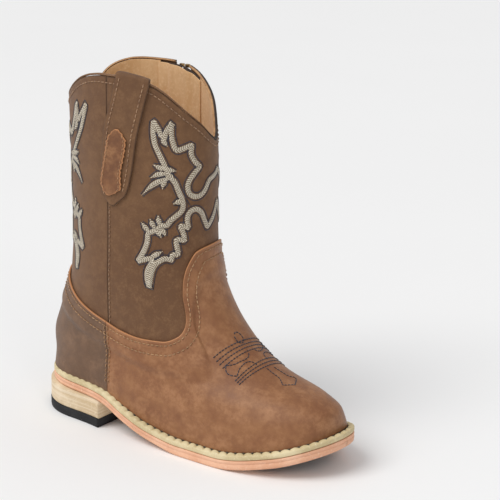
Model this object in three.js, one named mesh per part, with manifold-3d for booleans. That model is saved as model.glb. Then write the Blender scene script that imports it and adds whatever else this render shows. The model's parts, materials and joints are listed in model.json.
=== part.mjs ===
// Child's western ankle boot, right foot, with an inside zip.
// Millimetres, +Z up, toe towards +X, the little-toe side towards -Y, the zip side towards +Y.
import * as THREE from 'three';
import { mergeVertices } from 'three/addons/utils/BufferGeometryUtils.js';
import Module from 'manifold-3d';

const wasm = await Module();
wasm.setup();

// Driving dimensions ---------------------------------------------------------------------------
const SOLE_LENGTH = 196;
const OUTSOLE = 4.2;            // outsole thickness at the heel and waist
const FOREPART_EXTRA = 1.1;     // more thickness under the ball and toes
const WELT = 3.2;               // welt thickness
const UPPER_INSET = 3.5;        // welt shelf outside the upper
const TOE_SWING = 2.7;          // toe tip leans inward by this much
const HEEL_TUCK = 2;            // welt and outsole drawn in round the heel
const SPRING_REACH = 90;        // height over which the sole's curve dies out in the upper
const LEATHER = 1.1;            // vamp and counter
const PANEL = 1.2;              // shaft panels
const LINING = 0.8;
const GAP = 0.3;                // clearance between laid-up layers
const TURN_UNDER = 9;           // how far the shaft runs below the vamp line
const HEEL_FRONT = 55;
const TOP_LIFT = 5.3;
const SIDE_SEAM = 59.2;         // x of the seams between front and back pieces
const ZIP_X = 64;               // x of the zip's centre line
const ZIP_WALL = 32;            // y of the inner side wall along the zip
const ZIP_GAP = 5.6;            // half width of the zip opening
const TAPE_WIDTH = 15;
const SLIDER_REST = 186;        // height of the slider's centre with the zip closed
const SLIDER_LENGTH = 12;
const SLIDER_HALF = 4.7;
const PIVOT_OUT = 4.5;          // pull pivot outside the wall line
const PULL_LENGTH = 20;
const COIL_PITCH = 3.6;
const PANEL_STEPS = 46;         // columns around the whole boot

// Curves ---------------------------------------------------------------------------------------
const clamp = (v, a, b) => Math.min(b, Math.max(a, v));
const lerp = (a, b, t) => a + (b - a) * t;
const smooth = (v, a, b) => {
  const t = clamp((v - a) / (b - a), 0, 1);
  return t * t * (3 - 2 * t);
};

// Monotone cubic through [t, value] pairs.
function curve(knots) {
  const t = knots.map((k) => k[0]);
  const p = knots.map((k) => k[1]);
  const n = t.length;
  const d = [];
  for (let i = 0; i < n - 1; i++) d.push((p[i + 1] - p[i]) / (t[i + 1] - t[i]));
  const m = new Array(n).fill(0);
  m[0] = d[0];
  m[n - 1] = d[n - 2];
  for (let i = 1; i < n - 1; i++) {
    if (d[i - 1] * d[i] <= 0) continue;
    const a = 2 * (t[i + 1] - t[i]) + (t[i] - t[i - 1]);
    const b = (t[i + 1] - t[i]) + 2 * (t[i] - t[i - 1]);
    m[i] = (a + b) / (a / d[i - 1] + b / d[i]);
  }
  return (v) => {
    const x = clamp(v, t[0], t[n - 1]);
    let i = 0;
    while (i < n - 2 && x > t[i + 1]) i++;
    const h = t[i + 1] - t[i];
    const s = (x - t[i]) / h;
    return (2 * s ** 3 - 3 * s ** 2 + 1) * p[i] + (s ** 3 - 2 * s ** 2 + s) * h * m[i]
      + (-2 * s ** 3 + 3 * s ** 2) * p[i + 1] + (s ** 3 - s ** 2) * h * m[i + 1];
  };
}

// Sole: underside height along the foot, and half widths to the little-toe and inner sides.
const underside = curve([[0, 17.4], [54, 14.8], [74, 9.2], [94, 3.4], [115, 0], [137, 0], [170, 5.6], [196, 14.2]]);
const soleOuter = curve([[0, 31], [43, 33], [88, 37.5], [133, 37.5], [169, 37], [196, 37]]);
const soleInner = curve([[0, 31], [43, 31], [88, 29], [137, 37], [169, 37], [196, 37]]);
const soleTop = (x) => underside(x) + OUTSOLE + FOREPART_EXTRA * smooth(x, 85, 120);
const feather = (x) => soleTop(x) + WELT;

// Upper: back and front profiles and the shaft's half widths by height, end roundness.
const backLine = curve([[0, 2], [14, 1], [32, -1.5], [55, 4], [80, 13], [110, 15.5], [150, 14.5], [200, 13]]);
const frontLine = curve([[0, 191], [8, 190.3], [18, 188.7], [28, 181], [40, 157], [54, 136], [70, 121], [86, 112],
  [102, 106.6], [122, 105.8], [150, 106.2], [175, 105.2], [200, 105]]);
const shaftOuter = curve([[60, 31.8], [90, 30.2], [120, 29.1], [160, 28.7], [200, 28.4]]);
const frontShare = curve([[0, 0.68], [40, 0.5], [95, 0.5], [200, 0.5]]);
const backShare = curve([[0, 0.16], [40, 0.3], [100, 0.5], [200, 0.5]]);
const roundPower = curve([[0, 2.3], [50, 2.05], [200, 2]]);
const footTaper = curve([[0, 1], [12, 1], [50, 0.9], [90, 0.855]]);
const shaftBlend = (h) => clamp((h - 20) / 70, 0, 1);

function endRound(q, back, front, power) {
  if (q < back) return Math.max(0, 1 - Math.abs(1 - q / back) ** power) ** (1 / power);
  if (q > front) return Math.max(0, 1 - Math.abs((q - front) / (1 - front)) ** power) ** (1 / power);
  return 1;
}
const roundAt = (q, h) => endRound(q, backShare(h), frontShare(h), roundPower(h));

// Half width of the inner side of the shaft, set so that the wall stands straight along the zip.
function shaftInner(h) {
  const g = h > 66 ? h : 60 + Math.max(0, h - 54) ** 2 / 24;
  const q = (ZIP_X - backLine(g)) / (frontLine(g) - backLine(g));
  const foot = (soleInner(ZIP_X) - UPPER_INSET) * footTaper(g);
  const m = shaftBlend(g);
  return (ZIP_WALL / roundAt(q, g) - (1 - m) * foot) / m;
}

const swing = (x) => TOE_SWING * clamp((x / SOLE_LENGTH - 0.6) / 0.4, 0, 1) ** 2;

// Point on the upper's outer face. u runs round from the heel's centre (0) by the little-toe side (0.25) to the
// front (0.5) and back by the zip side (0.75); h is the height before the sole's curve is added.
function face(u, h) {
  const v = u - Math.floor(u);
  const q = (1 - Math.cos(2 * Math.PI * v)) / 2;
  const x = lerp(backLine(h), frontLine(h), q);
  const outer = v < 0.5;
  const foot = ((outer ? soleOuter(x) : soleInner(x)) - UPPER_INSET) * footTaper(h);
  let shaft = shaftOuter(h);
  if (!outer) shaft = lerp(shaftInner(h), shaft, smooth(x, 100, 150));
  const m = shaftBlend(h);
  const w = lerp(foot, shaft, m) * roundAt(q, h);
  const lift = feather(x) * clamp(1 - h / SPRING_REACH, 0, 1) ** 2;
  return new THREE.Vector3(x, swing(x) + (outer ? -w : w), h + lift);
}
function heightFor(u, z) {
  let lo = 0;
  let hi = 230;
  for (let i = 0; i < 24; i++) {
    const mid = (lo + hi) / 2;
    if (face(u, mid).z > z) hi = mid;
    else lo = mid;
  }
  return (lo + hi) / 2;
}
function outward(u, h) {
  const e = 0.004;
  const du = face(u + e, h).sub(face(u - e, h));
  const dh = face(u, h + 0.6).sub(face(u, Math.max(0, h - 0.6)));
  const n = du.cross(dh).normalize();
  n.z *= smooth(h, 0, 10);
  return n.normalize();
}
function laid(u, z, off) {
  const h = heightFor(u, z);
  return face(u, h).addScaledVector(outward(u, h), off);
}
const around = (x, h) => Math.acos(clamp(1 - 2 * (x - backLine(h)) / (frontLine(h) - backLine(h)), -1, 1)) / (2 * Math.PI);
// u of the given x at height z, on the little-toe side or on the zip side.
function atX(x, z, inner) {
  let u = inner ? 0.76 : 0.24;
  for (let i = 0; i < 3; i++) {
    const a = around(x, heightFor(u, z));
    u = inner ? 1 - a : a;
  }
  return u;
}

// Top edge of the shaft and top edge of the vamp and counter, by u.
const topKnots = [[-0.03, 173], [0, 174], [0.04, 176.5], [0.07, 179.5], [0.115, 184.8], [0.149, 189.8], [0.18, 194],
  [0.208, 196.4], [0.241, 197.6], [0.283, 197.5], [0.32, 196.2], [0.352, 193.9], [0.375, 190.7], [0.398, 186.5],
  [0.421, 182.2], [0.448, 177.7], [0.48, 172.7], [0.52, 166], [0.546, 163.5], [0.572, 165.5], [0.6, 174],
  [0.62, 180.5], [0.664, 188.9], [0.705, 194.2], [0.738, 196.6], [0.777, 197.2], [0.82, 197.3], [0.848, 196.9],
  [0.87, 195.7], [0.893, 193.6], [0.912, 190.8], [0.93, 186.5], [0.95, 180], [0.97, 173]];
const topCurve = curve(topKnots);
const topEdge = (u) => topCurve(u > 0.97 ? u - 1 : u);
const vampKnots = [[0, 83.5], [0.05, 81.5], [0.101, 77.2], [0.133, 73.8], [0.164, 70.1], [0.199, 66.1], [0.227, 63.1],
  [0.254, 60.3], [0.289, 58.6], [0.323, 58.9], [0.353, 61.8], [0.378, 67.3], [0.391, 74.4], [0.397, 82.9],
  [0.408, 91.1], [0.428, 99.4], [0.453, 106.1], [0.484, 108], [0.52, 108.6], [0.56, 108], [0.597, 104.5],
  [0.622, 98], [0.64, 90], [0.65, 82], [0.659, 74], [0.675, 67], [0.7, 62], [0.735, 59.6], [0.78, 60], [0.83, 64],
  [0.88, 70], [0.93, 76.5], [0.97, 81.5], [1, 83.5]];
const steepKnots = vampKnots.filter(([u]) => (u > 0.37 && u < 0.44) || (u > 0.61 && u < 0.68));
const vampCurve = curve(vampKnots);
const vampEdge = (u) => vampCurve(u - Math.floor(u));
const liningJoin = (u) => vampEdge(u) - TURN_UNDER - 1;

// The vamp and counter step outwards over the shaft, and the foot lining steps in behind the stiffened toe and heel.
const overStep = (u, z) => (LEATHER + GAP + 0.1) * smooth(z, vampEdge(u) - 19.5, vampEdge(u) - 13.5);
const liningStep = (u, z) => -1.5 - 1.2 * smooth(-z, -(liningJoin(u) - 2), -(liningJoin(u) - 12));

// Columns from u0 to u1 on one shared division of the boot's round, with the edge knots kept.
function columns(u0, u1, steps, knots = []) {
  const list = [u0];
  for (let k = Math.ceil(u0 * steps); k <= Math.floor(u1 * steps); k++) {
    if (k / steps > u0 + 0.005 && k / steps < u1 - 0.005) list.push(k / steps);
  }
  list.push(u1);
  for (const [k] of knots) {
    for (const c of [k, k - 1]) {
      if (c > u0 + 0.002 && c < u1 - 0.002 && !list.some((v) => Math.abs(v - c) < 0.006)) list.push(c);
    }
  }
  return list.sort((a, b) => a - b);
}

// Closed solid between two grids of points, front grid outwards; ring closes the first direction on itself.
function slabOf(front, back, ring = false) {
  const cols = front.length;
  const rows = front[0].length;
  const pos = [];
  for (const grid of [front, back]) for (const col of grid) for (const p of col) pos.push(p.x, p.y, p.z);
  const o = (i, j) => (i % cols) * rows + j;
  const b = (i, j) => cols * rows + (i % cols) * rows + j;
  const index = [];
  const quad = (p, q, r, s) => index.push(p, q, r, p, r, s);
  const last = ring ? cols : cols - 1;
  for (let i = 0; i < last; i++) {
    for (let j = 0; j < rows - 1; j++) {
      quad(o(i, j), o(i + 1, j), o(i + 1, j + 1), o(i, j + 1));
      quad(b(i, j), b(i, j + 1), b(i + 1, j + 1), b(i + 1, j));
    }
    quad(o(i, 0), b(i, 0), b(i + 1, 0), o(i + 1, 0));
    quad(o(i, rows - 1), o(i + 1, rows - 1), b(i + 1, rows - 1), b(i, rows - 1));
  }
  if (!ring) {
    for (let j = 0; j < rows - 1; j++) {
      quad(o(0, j), o(0, j + 1), b(0, j + 1), b(0, j));
      quad(o(last, j), b(last, j), b(last, j + 1), o(last, j + 1));
    }
  }
  const g = new THREE.BufferGeometry();
  g.setAttribute('position', new THREE.Float32BufferAttribute(pos, 3));
  g.setIndex(index);
  return g;
}

// Panel laid on the upper between the heights low(u) and high(u). head lists rows of its own above the low edge, tail
// rows of its own below the high edge, and the rows between are spread evenly along the leather. shift moves a column
// sideways with height.
function panel({ cols, low, high, rows, outer, inner, head = [0], tail = [0], shift = () => 0, ring = false }) {
  const settled = (c) => {
    let u = c;
    for (let i = 0; i < 4; i++) u = c + shift(c, low(u));
    return low(u);
  };
  const grid = (off) => cols.map((c) => {
    const edge = settled(c);
    const lo = edge + head[head.length - 1];
    const hi = Math.max(high(c) - tail[0] - (tail.length > 1 ? 6 : 0), lo + 0.5);
    const fine = [];
    for (let j = 0; j <= 40; j++) fine.push(lerp(lo, hi, j / 40));
    const run = [0];
    for (let j = 1; j <= 40; j++) run.push(run[j - 1] + laid(c, fine[j], 0).distanceTo(laid(c, fine[j - 1], 0)));
    const levels = head.slice(0, -1).map((t) => edge + t);
    for (let j = 0, k = 0; j <= rows; j++) {
      const s = run[40] * j / rows;
      while (k < 39 && run[k + 1] < s) k++;
      levels.push(lerp(fine[k], fine[k + 1], clamp((s - run[k]) / (run[k + 1] - run[k]), 0, 1)));
    }
    if (tail.length > 1) for (const t of tail) levels.push(high(c) - t);
    return levels.map((z) => laid(c + shift(c, z), z, off(c, z)));
  });
  return slabOf(grid(outer), grid(inner), ring);
}

// Sideways shift that keeps a piece's edge at a constant x, fading out away from that edge.
function keepEdge(x, inner, refZ, reach = 0.08) {
  const ref = atX(x, refZ, inner);
  return { ref, shift: (u, z) => (atX(x, z, inner) - ref) * (1 - smooth(Math.abs(u - ref), 0, reach)) };
}
const wrap = (u) => (u > 0.5 ? u - 1 : u);

// Sole slabs: half widths at x for an outline drawn in by inset, rounder at the toe's inner corner.
function outline(x, inset) {
  const tuck = HEEL_TUCK * (1 - smooth(x, 40, 85));
  const q = clamp((x - inset - HEEL_TUCK) / (SOLE_LENGTH - HEEL_TUCK - 2 * inset), 0, 1);
  const outer = (soleOuter(x) - inset - tuck) * endRound(q, 0.16, 0.68, 2.3);
  const inner = (soleInner(x) - inset - tuck) * endRound(q, 0.16, 0.68, q > 0.5 ? 2 : 2.3);
  return [swing(x) - outer, swing(x) + inner];
}
function stations(x0, x1, n, roundBack, roundFront) {
  const list = [];
  for (let i = 0; i <= n; i++) {
    let t = i / n;
    if (roundBack && roundFront) t = (1 - Math.cos(Math.PI * t)) / 2;
    else if (roundBack) t = 1 - Math.cos(Math.PI * t / 2);
    else if (roundFront) t = Math.sin(Math.PI * t / 2);
    list.push(lerp(x0, x1, t));
  }
  return list;
}
// Slab whose top and underside follow the foot; x0 and x1 left out run to the outline's own ends.
function soleSlab({ inset, insetBelow = inset, top, bottom, x0, x1, n = 48, halfWidth }) {
  const run = (ins) => stations(x0 ?? ins + HEEL_TUCK + 0.02, x1 ?? SOLE_LENGTH - ins - 0.02, n, x0 === undefined, x1 === undefined);
  const rim = (xs, ins, z) => xs.map((x) => {
    const [a, b] = halfWidth ? [swing(x) - halfWidth, swing(x) + halfWidth] : outline(x, ins);
    return [new THREE.Vector3(x, a, z(x)), new THREE.Vector3(x, b, z(x))];
  });
  return slabOf(rim(run(inset), inset, top), rim(run(insetBelow), insetBelow, bottom));
}
// Flat-sided ring between two outlines.
function weltRing(inset, width, top, bottom, n) {
  const loop = (ins) => {
    const xs = stations(ins + HEEL_TUCK + 0.02, SOLE_LENGTH - ins - 0.02, n, true, true);
    const side = (k) => xs.map((x) => [x, outline(x, ins)[k]]);
    return [...side(0), ...side(1).reverse()];
  };
  const outer = loop(inset);
  const inner = loop(inset + width);
  const at = ([x, y], z) => new THREE.Vector3(x, y, z(x));
  const front = outer.map((p) => [at(p, bottom), at(p, top)]);
  const back = inner.map((p) => [at(p, bottom), at(p, top)]);
  return slabOf(front, back, true);
}

// Booleans -------------------------------------------------------------------------------------
function solid(geometry) {
  const g = geometry.clone();
  g.deleteAttribute('normal');
  g.deleteAttribute('uv');
  const m = mergeVertices(g, 1e-4);
  return new wasm.Manifold(new wasm.Mesh({
    numProp: 3,
    vertProperties: new Float32Array(m.attributes.position.array),
    triVerts: new Uint32Array(m.index.array),
  }));
}
function geometryOf(manifold) {
  const m = manifold.getMesh();
  const g = new THREE.BufferGeometry();
  g.setAttribute('position', new THREE.BufferAttribute(new Float32Array(m.vertProperties), 3));
  g.setIndex(new THREE.BufferAttribute(new Uint32Array(m.triVerts), 1));
  return g;
}

// Materials ------------------------------------------------------------------------------------
const paint = (color, roughness, metalness = 0) => new THREE.MeshStandardMaterial({ color, roughness, metalness });
const vampBrown = paint('#9c7455', 0.55);
const counterBrown = paint('#8a6a5a', 0.6);
const shaftBrown = paint('#72533f', 0.72);
const bindingBrown = paint('#3a2c24', 0.6);
const liningTan = paint('#d2a57a', 0.85);
const boardGrey = paint('#b9a58a', 0.9);
const weltCream = paint('#e3d3ac', 0.6);
const salmon = paint('#e8b08c', 0.6);
const heelPale = paint('#e6d2b4', 0.55);
const rubberBlack = paint('#2b2b2c', 0.8);
const corkBrown = paint('#b98f5f', 0.95);
const steel = paint('#9a9a9a', 0.35, 1);
const tapeBrown = paint('#4a3427', 0.9);
const coilBrown = paint('#3f2c21', 0.5);
const bronze = paint('#9a7b4c', 0.32, 1);

const boot = new THREE.Group();
const moved = new THREE.Group();
boot.add(moved);
function add(name, geometry, material, group = moved) {
  geometry.deleteAttribute('uv');
  geometry.computeVertexNormals();
  const mesh = new THREE.Mesh(geometry, material);
  mesh.name = name;
  group.add(mesh);
  return mesh;
}

// Vamp and counter -----------------------------------------------------------------------------
const seamOuter = keepEdge(SIDE_SEAM, false, 61);
const seamInner = keepEdge(SIDE_SEAM, true, 61);
const footFoot = (u) => face(u, 0).z + 1.2;
const bothSeams = (u, z) => seamOuter.shift(u, z) + seamInner.shift(u < 0.5 && u < 0 ? u + 1 : u, z);
const upperOuter = (u, z) => overStep(u, z);
const upperInner = (u, z) => overStep(u, z) - LEATHER;
add('vamp', panel({
  cols: columns(seamOuter.ref + 0.0006, seamInner.ref - 0.0006, PANEL_STEPS, vampKnots),
  low: footFoot, high: vampEdge, rows: 13, tail: [13.5, 7, 0], outer: upperOuter, inner: upperInner, shift: bothSeams,
}), vampBrown);
add('counter', panel({
  cols: columns(seamInner.ref + 0.0006 - 1, seamOuter.ref - 0.0006, PANEL_STEPS, vampKnots),
  low: footFoot, high: vampEdge, rows: 5, tail: [13.5, 7, 0], outer: upperOuter, inner: upperInner, shift: bothSeams,
}), counterBrown);

// Shaft panels ---------------------------------------------------------------------------------
const sideSeam = keepEdge(SIDE_SEAM + 0.8, false, 150);
const zipFront = keepEdge(ZIP_X + ZIP_GAP, true, 150);
const zipBack = keepEdge(ZIP_X - ZIP_GAP, true, 150);
const valley = [[0.546, 0], [0.97, 0]];
const SHAFT_HEAD = [0, 4.5, 9, 16, 25];
const shaftLow = (u) => vampEdge(u) - TURN_UNDER + GAP;
add('shaft_front', panel({
  cols: columns(sideSeam.ref + 0.0006, zipFront.ref, PANEL_STEPS, [...valley, ...vampKnots]),
  low: shaftLow, high: topEdge, rows: 4, head: SHAFT_HEAD, outer: () => 0, inner: () => -PANEL,
  shift: (u, z) => sideSeam.shift(u, z) + zipFront.shift(u, z),
}), shaftBrown);
add('shaft_back', panel({
  cols: columns(zipBack.ref - 1, sideSeam.ref - 0.0006, PANEL_STEPS, [...valley, ...vampKnots]),
  low: shaftLow, high: (u) => topEdge(u < 0 ? u + 1 : u), rows: 4, head: SHAFT_HEAD, outer: () => 0, inner: () => -PANEL,
  shift: (u, z) => sideSeam.shift(u, z) + zipBack.shift(u + 1, z),
}), shaftBrown);

// Top edge binding, open at the zip.
const bindingCols = columns(zipBack.ref - 1, zipFront.ref, PANEL_STEPS, [...valley, ...vampKnots]);
const top = (u) => topEdge(u < 0 ? u + 1 : u);
add('topline_binding', panel({
  cols: bindingCols, low: (u) => top(u) + 1, high: (u) => top(u) + 1.7, rows: 1,
  outer: () => 0.05, inner: () => -2.4,
  shift: (u, z) => zipFront.shift(u, z) + zipBack.shift(u + 1, z),
}), bindingBrown);

// Linings --------------------------------------------------------------------------------------
const tapeFront = keepEdge(ZIP_X + TAPE_WIDTH + 0.5, true, 150);
const tapeBack = keepEdge(ZIP_X - TAPE_WIDTH - 0.5, true, 150);
const liningOuter = () => -PANEL - GAP;
const liningInner = () => -PANEL - GAP - LINING;
add('lining_front', panel({
  cols: columns(sideSeam.ref + 0.0006, tapeFront.ref, PANEL_STEPS, [...valley, ...vampKnots]),
  low: (u) => liningJoin(u) + 2.5, high: topEdge, rows: 4, head: SHAFT_HEAD, outer: liningOuter, inner: liningInner,
  shift: (u, z) => sideSeam.shift(u, z) + tapeFront.shift(u, z),
}), liningTan);
add('lining_back', panel({
  cols: columns(tapeBack.ref - 1, sideSeam.ref - 0.0006, PANEL_STEPS, [...valley, ...vampKnots]),
  low: (u) => liningJoin(u) + 2.5, high: top, rows: 4, head: SHAFT_HEAD, outer: liningOuter, inner: liningInner,
  shift: (u, z) => sideSeam.shift(u, z) + tapeBack.shift(u + 1, z),
}), liningTan);
const footLiningInner = (u, z) => liningStep(u, z) - LINING;
add('vamp_lining', panel({
  cols: columns(seamOuter.ref + 0.0006, seamInner.ref - 0.0006, PANEL_STEPS, steepKnots),
  low: footFoot, high: liningJoin, rows: 11, outer: liningStep, inner: footLiningInner, shift: bothSeams,
}), liningTan);
add('heel_lining', panel({
  cols: columns(seamInner.ref + 0.0006 - 1, seamOuter.ref - 0.0006, PANEL_STEPS),
  low: footFoot, high: liningJoin, rows: 5, outer: liningStep, inner: footLiningInner, shift: bothSeams,
}), liningTan);

// Hidden stiffeners between leather and lining.
add('heel_stiffener', panel({
  cols: columns(-0.18, 0.18, PANEL_STEPS), low: (u) => footFoot(u) + 0.5, high: (u) => vampEdge(u) - 27, rows: 4,
  outer: () => -1.7, inner: () => -2.15,
}), boardGrey);
function puffTop(u) {
  let lo = 1;
  let hi = 60;
  for (let i = 0; i < 24; i++) {
    const mid = (lo + hi) / 2;
    if (face(u, mid).x > 163) lo = mid;
    else hi = mid;
  }
  return face(u, lo).z;
}
add('toe_puff', panel({
  cols: columns(0.39, 0.61, PANEL_STEPS), low: (u) => footFoot(u) + 0.5, high: puffTop, rows: 6,
  outer: () => -1.85, inner: () => -2.2,
}), boardGrey);

// Pull strap over the top edge on the little-toe side, and the shaped patch on it -------------
const strapLeft = curve([[-68.6, 62.6], [-66, 60], [-62, 56.8], [-50, 56.8], [-30, 58.5], [-12, 63.7], [0, 67]]);
const strapRight = curve([[-68.6, 65.2], [-66, 68], [-62, 72.4], [-50, 76], [-30, 79], [-12, 82.7], [0, 85.4]]);
const STRAP = 1.1;
const STRAP_TOP = 197.6;        // height of the shaft edge the strap turns over
const strapPath = [[0.95, -68.6], [0.95, -66], [0.95, -62], [0.95, -50], [1, -40], [1.1, -30], [1.2, -20], [1.25, -10],
  [1.2, 0.2], [1.1, 1.6], [0.65, 2.5], [-0.25, 2.95], [-1.2, 3.1], [-2.15, 2.95], [-3.05, 2.5], [-3.5, 1.6],
  [-3.6, 0.2], [-3.5, -8], [-3.5, -18], [-3.5, -32]];
function strapPoint([off, dz], inside, t) {
  const left = inside ? 67.6 : strapLeft(Math.min(0, dz));
  const right = inside ? 84.6 : strapRight(Math.min(0, dz));
  const x = lerp(left, right, t);
  const u = around(x, Math.max(100, STRAP_TOP + dz));
  const z = STRAP_TOP + dz + (topEdge(u) - STRAP_TOP) * smooth(dz, -40, -15);
  return laid(u, z, off);
}
const ACROSS = 4;
const strapMid = [];
for (let k = 0; k <= ACROSS; k++) {
  const t = k / ACROSS;
  strapMid.push(strapPath.map((p, i) => strapPoint(p, i > 15, t)));
}
function thicken(mid, half) {
  const n = mid.length;
  const m = mid[0].length;
  const shell = (s) => mid.map((col, i) => col.map((p, j) => {
    const a = mid[Math.min(n - 1, i + 1)][j].clone().sub(mid[Math.max(0, i - 1)][j]);
    const b = mid[i][Math.min(m - 1, j + 1)].clone().sub(mid[i][Math.max(0, j - 1)]);
    return p.clone().addScaledVector(a.cross(b).normalize(), s * half);
  }));
  return slabOf(shell(1), shell(-1));
}
add('pull_strap', thicken(strapMid, STRAP / 2), shaftBrown);

const patchLeft = curve([[134.6, 61.4], [138, 58.4], [141, 57.4], [146, 58], [154, 59.8], [160, 60.9], [166, 62.4],
  [169, 64.8], [171, 67.3]]);
const patchRight = curve([[134.6, 63.2], [137, 68], [139.5, 70.6], [147, 70.4], [154, 71.8], [160, 73], [165, 73.5],
  [168, 71.9], [171, 69.3]]);
const patchMid = [];
for (let k = 0; k <= 4; k++) {
  const col = [];
  for (const z of [134.6, 136, 138, 140, 143, 147, 152, 157, 162, 166, 169, 171]) {
    const u = around(lerp(patchLeft(z), patchRight(z), k / 4), z);
    col.push(laid(u, z, 2.35));
  }
  patchMid.push(col);
}
add('strap_patch', thicken(patchMid, 0.35), vampBrown);

// Bottom ---------------------------------------------------------------------------------------
const INSOLE_INSET = 9.8;
const nailSpots = [[17, -8], [17, 8], [34, -12.5], [34, 12.5]];
const nailPoints = (r, head, floor, seatTop) => [[0, floor], [r * 0.4, floor + 0.6], [r, floor + 2.2], [r, seatTop - 1.6 - head],
  [2 + head, seatTop - 0.8 - head], [2 + head, seatTop + head * 0.1], [0, seatTop + head * 0.1]];
function nail(x, y, grow) {
  const seatTop = feather(x) + 2;
  const pts = nailPoints(0.9 + grow, grow, 8.5 - grow, seatTop).map(([r, z]) => new THREE.Vector2(r, z));
  if (grow > 0) pts.splice(-1, 0, new THREE.Vector2(2 + grow, seatTop + 1));
  if (grow > 0) pts[pts.length - 1].y = seatTop + 1;
  const g = new THREE.LatheGeometry(pts, 12);
  g.rotateX(Math.PI / 2);
  g.translate(x, y, 0);
  return g;
}
const nailCuts = nailSpots.map(([x, y]) => solid(nail(x, y, 0.3)));
const drilled = (g) => geometryOf(nailCuts.reduce((s, c) => s.subtract(c), solid(g)));

add('welt', weltRing(0, 9, (x) => feather(x), (x) => soleTop(x) + GAP, 50), weltCream);
add('outsole', drilled(soleSlab({ inset: 0, top: soleTop, bottom: underside, n: 40 })), salmon);
add('heel_block', drilled(soleSlab({
  inset: -1.6, insetBelow: -1.8, top: (x) => underside(x) - GAP, bottom: () => TOP_LIFT + GAP, x1: HEEL_FRONT,
  n: 24,
})), heelPale);
add('heel_top_lift', soleSlab({ inset: -1.9, insetBelow: -2, top: () => TOP_LIFT, bottom: () => 0, x1: HEEL_FRONT - 0.6, n: 20 }),
  rubberBlack);
add('insole_board', drilled(soleSlab({
  inset: INSOLE_INSET, top: (x) => feather(x) + 2, bottom: (x) => feather(x) + GAP, n: 30,
})), boardGrey);
add('sock_liner', soleSlab({
  inset: INSOLE_INSET + 0.3, top: (x) => feather(x) + 5.2, bottom: (x) => feather(x) + 2 + GAP, n: 30,
}), liningTan);
add('shank', soleSlab({
  inset: 0, halfWidth: 5.5, top: (x) => soleTop(x) + 1.8, bottom: (x) => soleTop(x) + GAP, x0: 24, x1: 106, n: 14,
}), steel);
add('forepart_filler', soleSlab({
  inset: INSOLE_INSET, top: (x) => soleTop(x) + 2.9, bottom: (x) => soleTop(x) + GAP + 0.2, x0: 107, n: 24,
}), corkBrown);
nailSpots.forEach(([x, y], i) => add(`heel_nail_${i + 1}`, nail(x, y, 0), steel));

// Zip ------------------------------------------------------------------------------------------
const ZIP_BOTTOM = 61;
function strip(d0, d1, z0, z1, outer, inner, n, rows) {
  const cols = [];
  for (let i = 0; i <= n; i++) cols.push(lerp(d0, d1, i / n));
  const grid = (off) => cols.map((d) => {
    const col = [];
    for (let j = 0; j <= rows; j++) {
      const u = atX(ZIP_X + d, 190, true);
      const z = lerp(z0, Math.min(z1, topEdge(u) - 0.6), j / rows);
      col.push(laid(atX(ZIP_X + d, z, true), z, typeof off === 'function' ? off(d) : off));
    }
    return col;
  });
  return slabOf(grid(outer), grid(inner));
}
// Columns run towards the heel, so that each strip's outer face looks away from the foot.
add('zip_tape_front', strip(TAPE_WIDTH, 0.8, 57.5, 196.3, -1.55, -2.1, 4, 9), tapeBrown);
add('zip_tape_back', strip(-0.8, -TAPE_WIDTH, 57.5, 196.3, -1.55, -2.1, 4, 9), tapeBrown);
const guardMid = curve([[-16.5, -3.7], [-9.5, -3.7], [-6.4, -5.1], [6.4, -5.1], [9.5, -3.7], [16.5, -3.7]]);
add('zip_guard', strip(16.5, -16.5, 64, 196.6, (d) => guardMid(d) + 0.35, (d) => guardMid(d) - 0.35, 10, 7), liningTan);

function combShape(sign) {
  const z0 = ZIP_BOTTOM + 3;
  const z1 = SLIDER_REST + 8.4;
  const s = new THREE.Shape();
  s.moveTo(sign * 3.3, z0);
  s.lineTo(sign * 3.3, z1);
  s.lineTo(sign * 1.5, z1);
  const teeth = Math.floor((z1 - z0) / COIL_PITCH);
  const lead = sign > 0 ? 0 : COIL_PITCH / 2;
  for (let k = teeth - 1; k >= 0; k--) {
    const z = z0 + k * COIL_PITCH + lead * 0.8;
    s.lineTo(sign * 1.5, z + 1.5);
    s.lineTo(sign * 0.65, z + 1.3);
    s.lineTo(sign * 0.65, z + 0.5);
    s.lineTo(sign * 1.5, z + 0.3);
  }
  s.lineTo(sign * 1.5, z0);
  s.closePath();
  return s;
}
// A shape drawn in (x, z) and extruded towards +Y between y0 and y1, about the zip's centre line.
function plate(shape, y0, y1, x = ZIP_X, z = 0) {
  const g = new THREE.ExtrudeGeometry(shape, { depth: y1 - y0, bevelEnabled: false, curveSegments: 8 });
  g.rotateX(Math.PI / 2);
  g.translate(x, y1, z);
  return g;
}
add('zip_coil_front', plate(combShape(1), ZIP_WALL - 1.2, ZIP_WALL + 0.8), coilBrown);
add('zip_coil_back', plate(combShape(-1), ZIP_WALL - 1.2, ZIP_WALL + 0.8), coilBrown);
const block = (x0, x1, z0, z1) => new THREE.Shape([
  new THREE.Vector2(x0, z0), new THREE.Vector2(x1, z0), new THREE.Vector2(x1, z1), new THREE.Vector2(x0, z1)]);
add('zip_stop_front', plate(block(0.7, 3.3, SLIDER_REST + 8.7, SLIDER_REST + 10.7), ZIP_WALL - 1.2, ZIP_WALL + 1), bronze);
add('zip_stop_back', plate(block(-3.3, -0.7, SLIDER_REST + 8.7, SLIDER_REST + 10.7), ZIP_WALL - 1.2, ZIP_WALL + 1), bronze);
add('zip_stop_bottom', plate(block(-3.3, 3.3, ZIP_BOTTOM, ZIP_BOTTOM + 2.6), ZIP_WALL - 1.2, ZIP_WALL + 1.2), bronze);

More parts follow.
